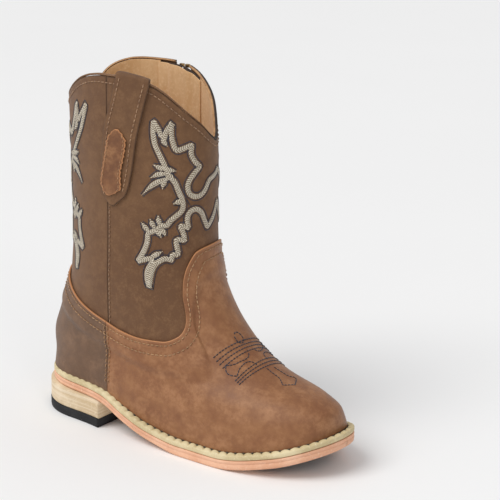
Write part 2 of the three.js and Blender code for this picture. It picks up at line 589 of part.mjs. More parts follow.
// Slider: two plates joined by a thin web between the coils, with flanges round the coils' outer sides.
const sliderProfile = new THREE.Shape([
  [-SLIDER_HALF, -4.2], [SLIDER_HALF, -4.2], [SLIDER_HALF, -3], [0.3, -3], [0.3, 1.1], [3.6, 1.1], [3.6, -0.9],
  [SLIDER_HALF, -0.9], [SLIDER_HALF, 1.7], [SLIDER_HALF - 0.6, 2.3], [-SLIDER_HALF + 0.6, 2.3], [-SLIDER_HALF, 1.7],
  [-SLIDER_HALF, -0.9], [-3.6, -0.9], [-3.6, 1.1], [-0.3, 1.1], [-0.3, -3], [-SLIDER_HALF, -3],
].map(([x, y]) => new THREE.Vector2(x, y)));
const sliderBody = new THREE.ExtrudeGeometry(sliderProfile, { depth: SLIDER_LENGTH, bevelEnabled: false });
sliderBody.translate(ZIP_X, ZIP_WALL, SLIDER_REST - SLIDER_LENGTH / 2);
add('zip_slider', sliderBody, bronze);

// Bridge on the slider, drawn in (y, z) with the pivot hole, and the pull that hangs from it.
const bridge = new THREE.Shape();
bridge.moveTo(2.6, -3.2);
bridge.lineTo(3.6, -3.2);
bridge.lineTo(5.5, -1.3);
bridge.quadraticCurveTo(5.95, 0, 5.5, 1.3);
bridge.lineTo(3.6, 3.2);
bridge.lineTo(2.6, 3.2);
bridge.closePath();
const pivotHole = [];
for (let k = 0; k < 16; k++) {
  const a = -2 * Math.PI * k / 16;
  pivotHole.push(new THREE.Vector2(PIVOT_OUT + 0.67 * Math.cos(a), 0.67 * Math.sin(a)));
}
bridge.holes.push(new THREE.Path(pivotHole));
const bridgeBody = new THREE.ExtrudeGeometry(bridge, { depth: 2.2, bevelEnabled: false, curveSegments: 8 });
bridgeBody.applyMatrix4(new THREE.Matrix4().makeBasis(
  new THREE.Vector3(0, 1, 0), new THREE.Vector3(0, 0, 1), new THREE.Vector3(1, 0, 0)));
bridgeBody.translate(ZIP_X - 1.1, ZIP_WALL, SLIDER_REST);
add('zip_bridge', bridgeBody, bronze);

const pullShape = new THREE.Shape();
pullShape.moveTo(-2.6, 0.5);
pullShape.lineTo(-2.6, -4.8);
pullShape.lineTo(-3.4, -PULL_LENGTH + 3);
pullShape.quadraticCurveTo(-3.5, -PULL_LENGTH, -1.6, -PULL_LENGTH);
pullShape.lineTo(1.6, -PULL_LENGTH);
pullShape.quadraticCurveTo(3.5, -PULL_LENGTH, 3.4, -PULL_LENGTH + 3);
pullShape.lineTo(2.6, -4.8);
pullShape.lineTo(2.6, 0.5);
pullShape.lineTo(1.4, 0.5);
pullShape.lineTo(1.4, -4.1);
pullShape.lineTo(-1.4, -4.1);
pullShape.lineTo(-1.4, 0.5);
pullShape.closePath();
const pullHole = new THREE.Path([
  [-1.5, -PULL_LENGTH + 6.5], [1.5, -PULL_LENGTH + 6.5], [1.7, -PULL_LENGTH + 2.6], [-1.7, -PULL_LENGTH + 2.6],
].map(([x, y]) => new THREE.Vector2(x, y)));
pullShape.holes.push(pullHole);
const pullPlate = plate(pullShape, ZIP_WALL + PIVOT_OUT - 0.6, ZIP_WALL + PIVOT_OUT + 0.6, ZIP_X, SLIDER_REST);
const pivotBar = new THREE.CylinderGeometry(0.6, 0.6, 4.6, 12);
pivotBar.rotateZ(Math.PI / 2);
pivotBar.translate(ZIP_X, ZIP_WALL + PIVOT_OUT, SLIDER_REST);
add('zip_pull', geometryOf(solid(pullPlate).add(solid(pivotBar))), bronze);

// Bring the origin to the middle of the footprint, on the ground -------------------------------
const box = new THREE.Box3().setFromObject(boot);
moved.position.set(-(box.min.x + box.max.x) / 2, -(box.min.y + box.max.y) / 2, 0);
boot.updateMatrixWorld(true);

export default boot;
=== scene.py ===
"""Child's western ankle boot, right foot: leathers, stitching, embroidery, sole and side zip."""
import math

import bpy
import numpy as np
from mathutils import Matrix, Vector, kdtree
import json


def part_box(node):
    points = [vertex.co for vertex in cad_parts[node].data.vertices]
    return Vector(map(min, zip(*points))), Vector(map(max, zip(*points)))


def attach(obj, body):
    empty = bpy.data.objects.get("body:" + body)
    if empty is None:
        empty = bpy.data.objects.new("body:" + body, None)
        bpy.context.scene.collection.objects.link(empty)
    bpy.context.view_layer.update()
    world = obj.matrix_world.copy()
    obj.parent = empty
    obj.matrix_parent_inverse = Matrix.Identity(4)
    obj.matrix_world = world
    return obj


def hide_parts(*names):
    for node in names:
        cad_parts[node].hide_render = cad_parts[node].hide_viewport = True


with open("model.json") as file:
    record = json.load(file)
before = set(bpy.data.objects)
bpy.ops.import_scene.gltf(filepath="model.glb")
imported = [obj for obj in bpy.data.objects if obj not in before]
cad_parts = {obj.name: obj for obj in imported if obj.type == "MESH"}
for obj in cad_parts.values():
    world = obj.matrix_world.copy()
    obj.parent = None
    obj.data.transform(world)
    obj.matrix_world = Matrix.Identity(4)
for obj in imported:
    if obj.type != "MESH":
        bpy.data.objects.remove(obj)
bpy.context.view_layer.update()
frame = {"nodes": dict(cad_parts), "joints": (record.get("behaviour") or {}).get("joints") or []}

# Driving dimensions, in millimetres from the heel's back, with +X to the toe and -Y to the little toe
SOLE_LENGTH = 196.0
OUTSOLE = 4.2
FOREPART_EXTRA = 1.1
WELT = 3.2
UPPER_INSET = 3.5
TOE_SWING = 2.7
HEEL_TUCK = 2.0
SPRING_REACH = 90.0
LEATHER = 1.1
PANEL = 1.2
LINING = 0.8
TURN_UNDER = 9.0
HEEL_FRONT = 55.0
TOP_LIFT = 5.3
STRAP_TOP = 197.6
SIDE_SEAM = 59.2
ZIP_X = 64.0
ZIP_WALL = 32.0
ZIP_GAP = 5.6
TAPE_WIDTH = 15.0
ZIP_TOP = 194.4
ZIP_BOTTOM = 61.0
FRONT_CENTRE = 0.546
BACK_CENTRE = -0.03
STITCH = 2.7
SEAM_GAP = 0.00015      # half the gap where outer panels meet, in turns round the boot
LINING_GAP = 0.0004
SEAM_BEVEL = 0.35

slider_low, slider_high = (np.array(corner) * 1000 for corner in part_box("zip_slider"))
ORIGIN = np.array([(slider_low[0] + slider_high[0]) / 2 - ZIP_X, slider_low[1] + 4.2 - ZIP_WALL, 0.0])


# Shape of the upper
def curve(*knots):
    """Monotone cubic through (t, value) knots, level outside them."""
    t, p = (np.array(c, float) for c in zip(*knots))
    d = np.diff(p) / np.diff(t)
    m = np.zeros(len(t))
    m[0], m[-1] = d[0], d[-1]
    for i in range(1, len(t) - 1):
        if d[i - 1] * d[i] > 0:
            a = 2 * (t[i + 1] - t[i]) + (t[i] - t[i - 1])
            b = (t[i + 1] - t[i]) + 2 * (t[i] - t[i - 1])
            m[i] = (a + b) / (a / d[i - 1] + b / d[i])

    x = np.linspace(t[0], t[-1], 1600)
    i = np.clip(np.searchsorted(t, x) - 1, 0, len(t) - 2)
    h = t[i + 1] - t[i]
    s = (x - t[i]) / h
    y = ((2 * s**3 - 3 * s**2 + 1) * p[i] + (s**3 - 2 * s**2 + s) * h * m[i]
         + (3 * s**2 - 2 * s**3) * p[i + 1] + (s**3 - s**2) * h * m[i + 1])
    return lambda v: np.interp(v, x, y)


def smooth(v, a, b):
    t = np.clip((np.asarray(v, float) - a) / (b - a), 0, 1)
    return t * t * (3 - 2 * t)


underside = curve((0, 17.4), (54, 14.8), (74, 9.2), (94, 3.4), (115, 0), (137, 0), (170, 5.6), (196, 14.2))
sole_outer = curve((0, 31), (43, 33), (88, 37.5), (133, 37.5), (169, 37), (196, 37))
sole_inner = curve((0, 31), (43, 31), (88, 29), (137, 37), (169, 37), (196, 37))
back_line = curve((0, 2), (14, 1), (32, -1.5), (55, 4), (80, 13), (110, 15.5), (150, 14.5), (200, 13))
front_line = curve((0, 191), (8, 190.3), (18, 188.7), (28, 181), (40, 157), (54, 136), (70, 121), (86, 112),
                   (102, 106.6), (122, 105.8), (150, 106.2), (175, 105.2), (200, 105))
shaft_outer = curve((60, 31.8), (90, 30.2), (120, 29.1), (160, 28.7), (200, 28.4))
front_share = curve((0, 0.68), (40, 0.5), (95, 0.5), (200, 0.5))
back_share = curve((0, 0.16), (40, 0.3), (100, 0.5), (200, 0.5))
round_power = curve((0, 2.3), (50, 2.05), (200, 2))
foot_taper = curve((0, 1), (12, 1), (50, 0.9), (90, 0.855))


def sole_top(x):
    return underside(x) + OUTSOLE + FOREPART_EXTRA * smooth(x, 85, 120)


def feather(x):
    return sole_top(x) + WELT


def end_round(q, back, front, power):
    a = np.maximum(0, 1 - np.abs(1 - q / back) ** power) ** (1 / power)
    b = np.maximum(0, 1 - np.abs((q - front) / (1 - front)) ** power) ** (1 / power)
    return np.where(q < back, a, np.where(q > front, b, 1.0))


def round_at(q, h):
    return end_round(q, back_share(h), front_share(h), round_power(h))


def swing(x):
    return TOE_SWING * np.clip((x / SOLE_LENGTH - 0.6) / 0.4, 0, 1) ** 2


def shaft_inner(h):
    """Half width of the zip side, set so that the wall stands straight along the zip."""
    g = np.where(h > 66, h, 60 + np.maximum(0, h - 54) ** 2 / 24)
    q = (ZIP_X - back_line(g)) / (front_line(g) - back_line(g))
    foot = (sole_inner(ZIP_X) - UPPER_INSET) * foot_taper(g)
    m = np.clip((g - 20) / 70, 0.01, 1)
    return (ZIP_WALL / round_at(q, g) - (1 - m) * foot) / m


def face(u, h):
    """Point on the upper: u runs round from the heel by the little-toe side (0.25) and the front (0.5)."""
    v, h = np.broadcast_arrays(np.asarray(u, float) % 1.0, np.asarray(h, float))
    q = (1 - np.cos(2 * np.pi * v)) / 2
    x = back_line(h) + (front_line(h) - back_line(h)) * q
    outer = v < 0.5
    foot = (np.where(outer, sole_outer(x), sole_inner(x)) - UPPER_INSET) * foot_taper(h)
    inner = shaft_inner(h)
    shaft = np.where(outer, shaft_outer(h), inner + (shaft_outer(h) - inner) * smooth(x, 100, 150))
    m = np.clip((h - 20) / 70, 0, 1)
    w = (foot + (shaft - foot) * m) * round_at(q, h)
    z = h + feather(x) * np.clip(1 - h / SPRING_REACH, 0, 1) ** 2
    return np.stack([x, swing(x) + np.where(outer, -w, w), z], -1)


def height_for(u, z):
    u, z = np.broadcast_arrays(np.asarray(u, float), np.asarray(z, float))
    lo, hi = np.zeros(u.shape), np.full(u.shape, 230.0)
    for _ in range(18):
        mid = (lo + hi) / 2
        over = face(u, mid)[..., 2] > z
        hi, lo = np.where(over, mid, hi), np.where(over, lo, mid)
    return (lo + hi) / 2


def unit(v):
    return v / np.maximum(np.linalg.norm(v, axis=-1, keepdims=True), 1e-9)


def outward(u, h):
    du = face(u + 0.004, h) - face(u - 0.004, h)
    dh = face(u, h + 0.6) - face(u, np.maximum(0, h - 0.6))
    n = unit(np.cross(du, dh))
    n[..., 2] *= smooth(h, 0, 10)
    return unit(n)


def skin(u, z, off=0.0):
    """Points the given distance outside the upper's surface, and the directions out of it."""
    h = height_for(u, z)
    n = outward(u, h)
    return face(u, h) + n * np.broadcast_to(off, h.shape)[..., None], n


def around(x, h):
    q = (x - back_line(h)) / (front_line(h) - back_line(h))
    return np.arccos(np.clip(1 - 2 * q, -1, 1)) / (2 * np.pi)


def at_x(x, z, inner):
    """u of the given x at height z, on the little-toe side or on the zip side."""
    u = np.full(np.shape(z), 0.76 if inner else 0.24)
    for _ in range(3):
        a = around(x, height_for(u, z))
        u = 1 - a if inner else a
    return u


top_curve = curve((-0.03, 173), (0, 174), (0.04, 176.5), (0.07, 179.5), (0.115, 184.8), (0.149, 189.8),
                  (0.18, 194), (0.208, 196.4), (0.241, 197.6), (0.283, 197.5), (0.32, 196.2), (0.352, 193.9),
                  (0.375, 190.7), (0.398, 186.5), (0.421, 182.2), (0.448, 177.7), (0.48, 172.7), (0.52, 166),
                  (0.546, 163.5), (0.572, 165.5), (0.6, 174), (0.62, 180.5), (0.664, 188.9), (0.705, 194.2),
                  (0.738, 196.6), (0.777, 197.2), (0.82, 197.3), (0.848, 196.9), (0.87, 195.7),
                  (0.893, 193.6), (0.912, 190.8), (0.93, 186.5), (0.95, 180), (0.97, 173))
vamp_curve = curve((0, 83.5), (0.05, 81.5), (0.101, 77.2), (0.133, 73.8), (0.164, 70.1), (0.199, 66.1),
                   (0.227, 63.1), (0.254, 60.3), (0.289, 58.6), (0.323, 58.9), (0.353, 61.8), (0.378, 67.3),
                   (0.391, 74.4), (0.397, 82.9), (0.408, 91.1), (0.428, 99.4), (0.453, 106.1), (0.484, 108),
                   (0.52, 108.6), (0.56, 108), (0.597, 104.5), (0.622, 98), (0.64, 90), (0.65, 82),
                   (0.659, 74), (0.675, 67), (0.7, 62), (0.735, 59.6), (0.78, 60), (0.83, 64), (0.88, 70),
                   (0.93, 76.5), (0.97, 81.5), (1, 83.5))


def top_edge(u):
    v = u % 1.0
    return top_curve(np.where(v > 0.97, v - 1, v))


def vamp_edge(u):
    return vamp_curve(u % 1.0)


def lining_join(u):
    return vamp_edge(u) - TURN_UNDER - 1


def over_step(u, z):
    """The vamp and counter lie over the shaft along their top edge."""
    edge = vamp_edge(u)
    return 1.5 * smooth(z - edge, -19.5, -13.5)


def foot_edge(u):
    return face(u, 0.0)[..., 2] + 0.05


def piece(name, points, faces, finish, body="boot", node=None, marks=None, uv=None):
    """Smooth mesh from millimetre points, riding on a body; marks are numbers kept on its points."""
    mesh = bpy.data.meshes.new(name)
    mesh.from_pydata(((np.asarray(points) + ORIGIN) / 1000).tolist(), [], faces)
    mesh.shade_smooth()
    for key, values in (marks or {}).items():
        mesh.attributes.new(key, "FLOAT", "POINT").data.foreach_set("value", np.asarray(values, np.float32))
    if uv is not None:
        corner = np.zeros(len(mesh.loops), int)
        mesh.loops.foreach_get("vertex_index", corner)
        mesh.uv_layers.new(name="along").data.foreach_set("uv", np.asarray(uv, np.float32)[corner].ravel())
    mesh.materials.append(finish)
    obj = bpy.data.objects.new(name, mesh)
    bpy.context.scene.collection.objects.link(obj)
    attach(obj, body)
    if node:
        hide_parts(node)
    return obj


def quads(ids):
    """Faces of a grid of point numbers, facing out where the first index runs along u."""
    a, b, c, d = ids[:-1, :-1], ids[1:, :-1], ids[1:, 1:], ids[:-1, 1:]
    return np.stack([a, b, c, d], -1).reshape(-1, 4).tolist()


def edged(count, length, bevel=0.6):
    """Fractions from 0 to 1, close together over the bevel at both ends."""
    near = np.array([0, 0.06, 0.2, 0.45, 1]) * bevel / length
    return np.concatenate([near, np.linspace(near[-1], 1 - near[-1], count)[1:-1], 1 - near[::-1]])


def run_of(points, axis):
    step = np.linalg.norm(np.diff(points, axis=axis), axis=-1)
    start = np.zeros_like(np.take(step, [0], axis))
    return np.cumsum(np.concatenate([start, step], axis), axis)


def slab(name, mid, out, half, finish, bevel=0.55, **facts):
    """Closed sheet about a grid of middle points, rounded at its four edges."""
    wide, high = run_of(mid, 0), run_of(mid, 1)
    edge = np.minimum(np.minimum(wide, wide[-1:] - wide), np.minimum(high, high[:, -1:] - high))
    full = (1 - (1 - np.clip(edge / bevel, 0, 1)) ** 2.4) ** (1 / 2.4)
    outer = mid + out * (half * full)[..., None]
    inner = mid - out * (half * full)[..., None]
    n, m = edge.shape
    front = np.arange(n * m).reshape(n, m)
    back = front.copy()
    back[1:-1, 1:-1] = n * m + np.arange((n - 2) * (m - 2)).reshape(n - 2, m - 2)
    points = np.concatenate([outer.reshape(-1, 3), inner[1:-1, 1:-1].reshape(-1, 3)])
    edges = np.concatenate([edge.ravel(), edge[1:-1, 1:-1].ravel()])
    side = np.concatenate([np.ones(n * m), np.zeros((n - 2) * (m - 2))])
    head = np.minimum(high[:, -1:] - high, 20)
    head = np.concatenate([head.ravel(), head[1:-1, 1:-1].ravel()])
    return piece(name, points, quads(front) + quads(back[::-1]), finish,
                 marks={"edge": edges, "head": head, "side": side}, **facts)


def groove(points, rows, depth=0.22, width=0.75):
    """How far stitching pulls the leather in at each point."""
    tree = kdtree.KDTree(sum(len(row) for row in rows))
    for i, spot in enumerate(np.concatenate(rows)):
        tree.insert(spot, i)
    tree.balance()
    away = np.array([tree.find(p)[2] for p in points.reshape(-1, 3)]).reshape(points.shape[:-1])
    return -depth * np.exp(-(away / width) ** 2)


def panel(name, cols, low, high, middle, half, finish, shift=None, rows=70, seams=(), bevel=0.55, **facts):
    """Sheet laid on the upper between two heights, its rows spread evenly along the leather."""
    settled = cols.copy()
    if shift:
        for _ in range(4):
            settled = cols + shift(cols, low(settled))
    lo, hi = low(settled), high(cols)
    fine = lo[:, None] + (hi - lo)[:, None] * np.linspace(0, 1, 61)
    run = run_of(face(cols[:, None], height_for(cols[:, None], fine)), 1)
    share = edged(rows, run[:, -1].mean(), bevel)
    z = np.array([np.interp(share * r[-1], r, f) for r, f in zip(run, fine)])
    u = cols[:, None] + (shift(cols[:, None], z) if shift else 0)
    mid, out = skin(u, z, middle(u, z) if callable(middle) else middle)
    if seams:
        mid = mid + out * groove(mid, seams)[..., None]
    return slab(name, mid, out, half, finish, bevel, **facts)


def columns(u0, u1, count):
    return u0 + (u1 - u0) * edged(count, (u1 - u0) * 270)


def keep_edge(x, inner, level, reach=0.08):
    """Where a piece's edge starts, and the sideways shift that keeps that edge at a constant x."""
    start = float(at_x(x, np.array(level, float), inner))

    def shift(u, z):
        near = 1 - smooth(np.abs(u - start), 0, reach)
        return np.where(near > 0, (at_x(x, z, inner) - start) * near, 0)
    return start, shift


# Thread
def inset(u, z, distance):
    """The line drawn on the upper at this distance below the line (u, z)."""
    p, n = skin(u, z)
    pu = (skin(u + 0.001, z)[0] - p) / 0.001
    pz = (skin(u, z + 0.2)[0] - skin(u, z - 0.2)[0]) / 0.4
    aim = -distance * unit(np.cross(n, np.gradient(p, axis=0)))
    uu, uz, zz = (pu * pu).sum(-1), (pu * pz).sum(-1), (pz * pz).sum(-1)
    au, az = (aim * pu).sum(-1), (aim * pz).sum(-1)
    det = uu * zz - uz * uz
    return u + (au * zz - az * uz) / det, z + (az * uu - au * uz) / det


def sew(name, rows, finish, pitch=STITCH, thread=0.32, rise=0.3, length=0.76, **facts):
    """Separate stitches along rows of (points, directions out of the leather)."""
    turn = np.linspace(0, 2 * np.pi, 6, endpoint=False)
    share = np.array([0, 0.14, 0.5, 0.86, 1])
    lift = np.array([-0.8, 0.35, 1, 0.35, -0.8]) * rise
    size = np.array([0.55, 0.95, 1, 0.95, 0.55]) * thread
    points, faces = [], []
    for spots, out in rows:
        run = run_of(spots, 0)
        count = max(1, round(run[-1] / pitch))
        step = run[-1] / count
        s = (np.arange(count)[:, None] + (1 - length) / 2 + share * length) * step
        p = np.stack([np.interp(s, run, spots[:, k]) for k in range(3)], -1)
        n = unit(np.stack([np.interp(s, run, out[:, k]) for k in range(3)], -1))
        t = unit(p[:, -1:] - p[:, :1])
        b = np.cross(t, n)
        ring = (p + n * lift[:, None])[:, :, None] + size[:, None, None] * (
            b[:, :, None] * np.cos(turn)[:, None] + n[:, :, None] * 0.8 * np.sin(turn)[:, None])
        base = sum(len(q) for q in points)
        ids = base + np.arange(count * 30).reshape(count, 5, 6)
        ids = np.concatenate([ids, ids[:, :, :1]], 2)
        for one in ids:
            faces += quads(one)
            faces += [one[0, :6].tolist(), one[-1, :6][::-1].tolist()]
        points.append(ring.reshape(-1, 3))
    return piece(name, np.concatenate(points), faces, finish, **facts)


def tube(spots, radius, sides=8, closed=False):
    """Points and faces of a round wire along a line."""
    spots = np.asarray(spots, float)
    if closed:
        t = unit(np.roll(spots, -1, 0) - np.roll(spots, 1, 0))
    else:
        t = unit(np.gradient(spots, axis=0))
    n = np.cross(t, [0.13, 0.31, 0.94])
    n = unit(n)
    b = np.cross(t, n)
    turn = np.linspace(0, 2 * np.pi, sides, endpoint=False)
    radius = np.broadcast_to(radius, len(spots))
    rings = spots[:, None] + radius[:, None, None] * (
        n[:, None] * np.cos(turn)[:, None] + b[:, None] * np.sin(turn)[:, None])
    ids = np.arange(len(spots) * sides).reshape(-1, sides)
    ids = np.concatenate([ids, ids[:, :1]], 1)
    faces = quads(np.concatenate([ids, ids[:1]]) if closed else ids)
    if not closed:
        faces += [ids[0, :-1].tolist(), ids[-1, :-1][::-1].tolist()]
    return rings.reshape(-1, 3), faces


def join(parts):
    points, faces = [], []
    for p, f in parts:
        base = sum(len(q) for q in points)
        points.append(p)
        faces += [[base + i for i in one] for one in f]
    return np.concatenate(points), faces


# Materials
def tint(code):
    part = [int(code[i:i + 2], 16) / 255 for i in (0, 2, 4)]
    return (*(c / 12.92 if c < 0.04045 else ((c + 0.055) / 1.055) ** 2.4 for c in part), 1.0)


class Value:
    """A socket that sums can be written on."""
    def __init__(self, finish, socket):
        self.finish, self.socket = finish, socket

    def _sum(self, operation, a, b):
        return self.finish.node("ShaderNodeMath", {"operation": operation}, a, b)

    def __add__(self, other):
        return self._sum("ADD", self, other)

    __radd__ = __add__

    def __sub__(self, other):
        return self._sum("SUBTRACT", self, other)

    def __rsub__(self, other):
        return self._sum("SUBTRACT", other, self)

    def __mul__(self, other):
        return self._sum("MULTIPLY", self, other)

    __rmul__ = __mul__

    def __getitem__(self, name):
        return Value(self.finish, self.socket.node.outputs[name])


class Finish:
    """A material whose maths is written as sums of sockets."""
    def __init__(self, name, **constants):
        self.material = bpy.data.materials.new(name)
        self.material.use_nodes = True
        self.tree = self.material.node_tree
        self.shader = self.tree.nodes["Principled BSDF"]
        for key, value in constants.items():
            self.shader.inputs[key.replace("_", " ")].default_value = value
        self.place = self.node("ShaderNodeTexCoord")["Object"]

    def node(self, kind, settings=None, *inputs, **named):
        node = self.tree.nodes.new(kind)
        for key, value in (settings or {}).items():
            setattr(node, key, value)
        for key, value in [*enumerate(inputs), *named.items()]:
            socket = node.inputs[key]
            if isinstance(value, Value):
                self.tree.links.new(value.socket, socket)
            else:
                socket.default_value = value
        return Value(self, node.outputs[0])

    def noise(self, scale, detail=4.0, roughness=0.55, place=None):
        return self.node("ShaderNodeTexNoise", None, Vector=place or self.place, Scale=scale, Detail=detail,
                         Roughness=roughness)

    def cells(self, scale, feature="DISTANCE_TO_EDGE", place=None):
        return self.node("ShaderNodeTexVoronoi", {"feature": feature}, Vector=place or self.place, Scale=scale)

    def step(self, value, low, high):
        return self.node("ShaderNodeMapRange", {"interpolation_type": "SMOOTHSTEP"}, value, low, high)

    def stretch(self, scale):
        return self.node("ShaderNodeVectorMath", {"operation": "MULTIPLY"}, self.place, scale)

    def blend(self, share, a, b):
        node = self.tree.nodes.new("ShaderNodeMix")
        node.data_type = "RGBA"
        for key, value in ((0, share), (6, a), (7, b)):
            if isinstance(value, Value):
                self.tree.links.new(value.socket, node.inputs[key])
            else:
                node.inputs[key].default_value = value
        return Value(self, node.outputs[2])

    def mark(self, name):
        return self.node("ShaderNodeAttribute", {"attribute_name": name})["Fac"]

    def feed(self, name, value):
        self.tree.links.new(value.socket, self.shader.inputs[name])

    def done(self, colour, roughness, height):
        """Feeds the shader; height is the relief in millimetres."""
        self.feed("Base Color", colour)
        self.feed("Roughness", roughness)
        self.feed("Normal", self.node("ShaderNodeBump", None, Height=height, Distance=0.001))
        return self.material


def distressed_leather(name, dark, middle, light, raw="head", gloss=0.5):
    """Rubbed two-tone leather with a fine pebble grain; raw names the edges left orange."""
    f = Finish(name, Coat_Roughness=0.38, Coat_Weight=0.14, Specular_IOR_Level=0.4)
    cloud = f.noise(30, 5, 0.62)
    patch = f.noise(130, 6, 0.62)
    speck = f.noise(520, 4, 0.65)
    streak = f.noise(40, 4, 0.6, f.stretch((1.0, 1.0, 2.6)))
    colour = f.blend(f.step(cloud * 0.35 + patch * 0.65, 0.3, 0.68), tint(dark), tint(middle))
    colour = f.blend(f.step(streak * 0.3 + patch * 0.4 + speck * 0.3, 0.46, 0.72) * 0.8, colour, tint(light))
    colour = f.blend(f.step(speck, 0.55, 0.72) * 0.4, colour, tint(dark))
    cut = f.mark(raw)
    colour = f.blend(f.step(cut + patch * 1.2, 2.6, 1.0) * 0.45, colour, tint("9c6a45"))
    colour = f.blend(f.step(cut + speck * 0.5, 0.95, 0.65), colour, tint("b97f52"))
    pebble = f.step(f.cells(1150), 0.0, 0.16)
    height = pebble * 0.035 + f.noise(330, 5, 0.6) * 0.13 + patch * 0.12
    return f.done(colour, patch * 0.22 + speck * 0.1 + (gloss - 0.15), height)


def shaft_leather():
    """Fine matt leather with a close, even grain."""
    f = Finish("shaft_leather", Sheen_Weight=0.1, Sheen_Roughness=0.5, Specular_IOR_Level=0.3)
    cloud = f.noise(14, 4, 0.5)
    mottle = f.noise(190, 5, 0.6)
    speck = f.noise(900, 3, 0.6)
    colour = f.blend(f.step(cloud * 0.5 + mottle * 0.5, 0.38, 0.62), tint("68482f"), tint("735236"))
    colour = f.blend(f.step(mottle * 0.5 + speck * 0.5, 0.47, 0.66) * 0.7, colour, tint("7d5b3e"))
    colour = f.blend(f.step(f.mark("edge"), 0.75, 0.4), colour, tint("5f432d"))
    pebble = f.step(f.cells(1700), 0.0, 0.2)
    return f.done(colour, mottle * 0.18 + 0.6, pebble * 0.03 + speck * 0.05 + mottle * 0.05)


def lining_leather():
    """Soft tan lining with a faint nap and handling creases."""
    f = Finish("lining", Sheen_Weight=0.25, Sheen_Roughness=0.6, Specular_IOR_Level=0.25)
    cloud = f.noise(22, 4, 0.55)
    nap = f.noise(620, 4, 0.7)
    crease = f.noise(60, 5, 0.6, f.stretch((1.0, 1.0, 0.25)))
    colour = f.blend(f.step(cloud * 0.5 + crease * 0.5, 0.38, 0.64), tint("c4945f"), tint("dfb584"))
    colour = f.blend(f.step(nap, 0.45, 0.7) * 0.45, colour, tint("ecc99d"))
    return f.done(colour, nap * 0.15 + 0.72, nap * 0.05 + crease * 0.35)


def edge_ink_and_shade():
    f = Finish("edge_ink_and_shade", Specular_IOR_Level=0.4)
    worn = f.noise(300, 4, 0.6)
    # painted shade: the binding's outer face is darkened on the zip side (+Y) and left brown on the little-toe side
    inner = f.step(f.node("ShaderNodeSeparateXYZ", None, f.place)["Y"], -0.006, 0.004)
    dark = f.blend(f.step(worn, 0.45, 0.72), tint("2f2622"), tint("4c3a30"))
    ink_and_painted_shade = f.blend(inner, tint("7d5a3d"), dark)
    bare = f.blend(f.step(worn, 0.4, 0.7), tint("a87c52"), tint("c79b6c"))
    return f.done(f.blend(f.mark("side"), bare, ink_and_painted_shade), worn * 0.3 + 0.4, worn * 0.12)


def thread(name, base, light, dark):
    """Twisted sewing thread."""
    f = Finish(name, Sheen_Weight=0.3, Sheen_Roughness=0.4)
    fibre = f.noise(1500, 3, 0.6)
    lot = f.noise(90, 3, 0.5)
    colour = f.blend(f.step(fibre * 0.6 + lot * 0.4, 0.4, 0.62), tint(dark), tint(base))
    colour = f.blend(f.step(fibre, 0.55, 0.75), colour, tint(light))
    return f.done(colour, fibre * 0.2 + 0.5, fibre * 0.08)


def satin_thread():
    """Cream embroidery, its stitches lying side by side across the band."""
    f = Finish("satin_thread", Sheen_Weight=0.35, Sheen_Roughness=0.35, Specular_IOR_Level=0.5)
    along = f.node("ShaderNodeUVMap", {"uv_map": "along"})
    parts = f.node("ShaderNodeSeparateXYZ", None, along)
    lane, slant = parts["X"], parts["Y"]
    slant = f.node("ShaderNodeMath", {"operation": "ABSOLUTE"}, slant)
    turn = f.node("ShaderNodeMath", {"operation": "SINE"}, (lane + slant * 0.75) * 5.3)
    stray = f.noise(700, 3, 0.6)
    ridge = turn * 0.5 + 0.5
    # painted shade in the gaps between stitches and painted highlight on their crowns: the colour runs dark to light
    # with the stitch ridges
    colour = f.blend(f.step(ridge + stray * 0.5, 0.35, 0.95), tint("75634e"), tint("e2d6bf"))
    colour = f.blend(f.step(stray, 0.55, 0.75) * 0.6, colour, tint("f3ebdb"))
    return f.done(colour, stray * 0.25 + 0.38, ridge * 0.4 + stray * 0.08)


def rubber(name, base, light, dark, rough=0.6, layers=0.0):
    """Moulded sole material; layers draws faint level lines through a stacked heel."""
    f = Finish(name, Specular_IOR_Level=0.4)
    cloud = f.noise(60, 4, 0.55)
    grit = f.noise(800, 4, 0.7)
    colour = f.blend(f.step(cloud, 0.4, 0.65), tint(dark), tint(base))
    colour = f.blend(f.step(grit, 0.52, 0.72) * 0.6, colour, tint(light))
    height = grit * 0.07 + cloud * 0.12
    if layers:
        lines = f.noise(30, 3, 0.5, f.stretch((0.25, 0.25, layers)))
        colour = f.blend(f.step(lines, 0.5, 0.66) * 0.5, colour, tint(light))
        colour = f.blend(f.step(lines, 0.48, 0.36) * 0.5, colour, tint(dark))
        height = height + lines * 0.2
    return f.done(colour, grit * 0.2 + (rough - 0.1), height)


def woven_tape():
    """Herringbone zip tape."""
    f = Finish("zip_tape", Sheen_Weight=0.2)
    parts = f.node("ShaderNodeSeparateXYZ", None, f.place)
    x, z = parts["X"], parts["Z"]
    zigzag = f.node("ShaderNodeMath", {"operation": "PINGPONG"}, x, 0.0011)
    rib = f.node("ShaderNodeMath", {"operation": "SINE"}, (z + zigzag * 1.4) * 9000)
    lot = f.noise(500, 3, 0.6)
    colour = f.blend(f.step(rib * 0.5 + lot, 0.2, 1.2), tint("2c1e16"), tint("5a4030"))
    return f.done(colour, lot * 0.1 + 0.75, rib * 0.05 + lot * 0.05)


def nylon():
    f = Finish("zip_coil", Specular_IOR_Level=0.5)
    lot = f.noise(900, 3, 0.6)
    return f.done(f.blend(f.step(lot, 0.4, 0.65), tint("2f2018"), tint("54392a")),
                  lot * 0.2 + 0.32, lot * 0.03)


def bronze():
    """Antique brass with patchy darker tarnish and brushed wear."""
    f = Finish("zip_metal", Metallic=1.0)
    brush = f.noise(260, 4, 0.6, f.stretch((3.0, 3.0, 0.3)))
    tarnish = f.noise(240, 4, 0.6)
    colour = f.blend(f.step(tarnish, 0.4, 0.62), tint("6b5233"), tint("a9895a"))
    colour = f.blend(f.step(brush, 0.5, 0.7) * 0.5, colour, tint("cdb184"))
    return f.done(colour, brush * 0.25 + 0.22, brush * 0.03)


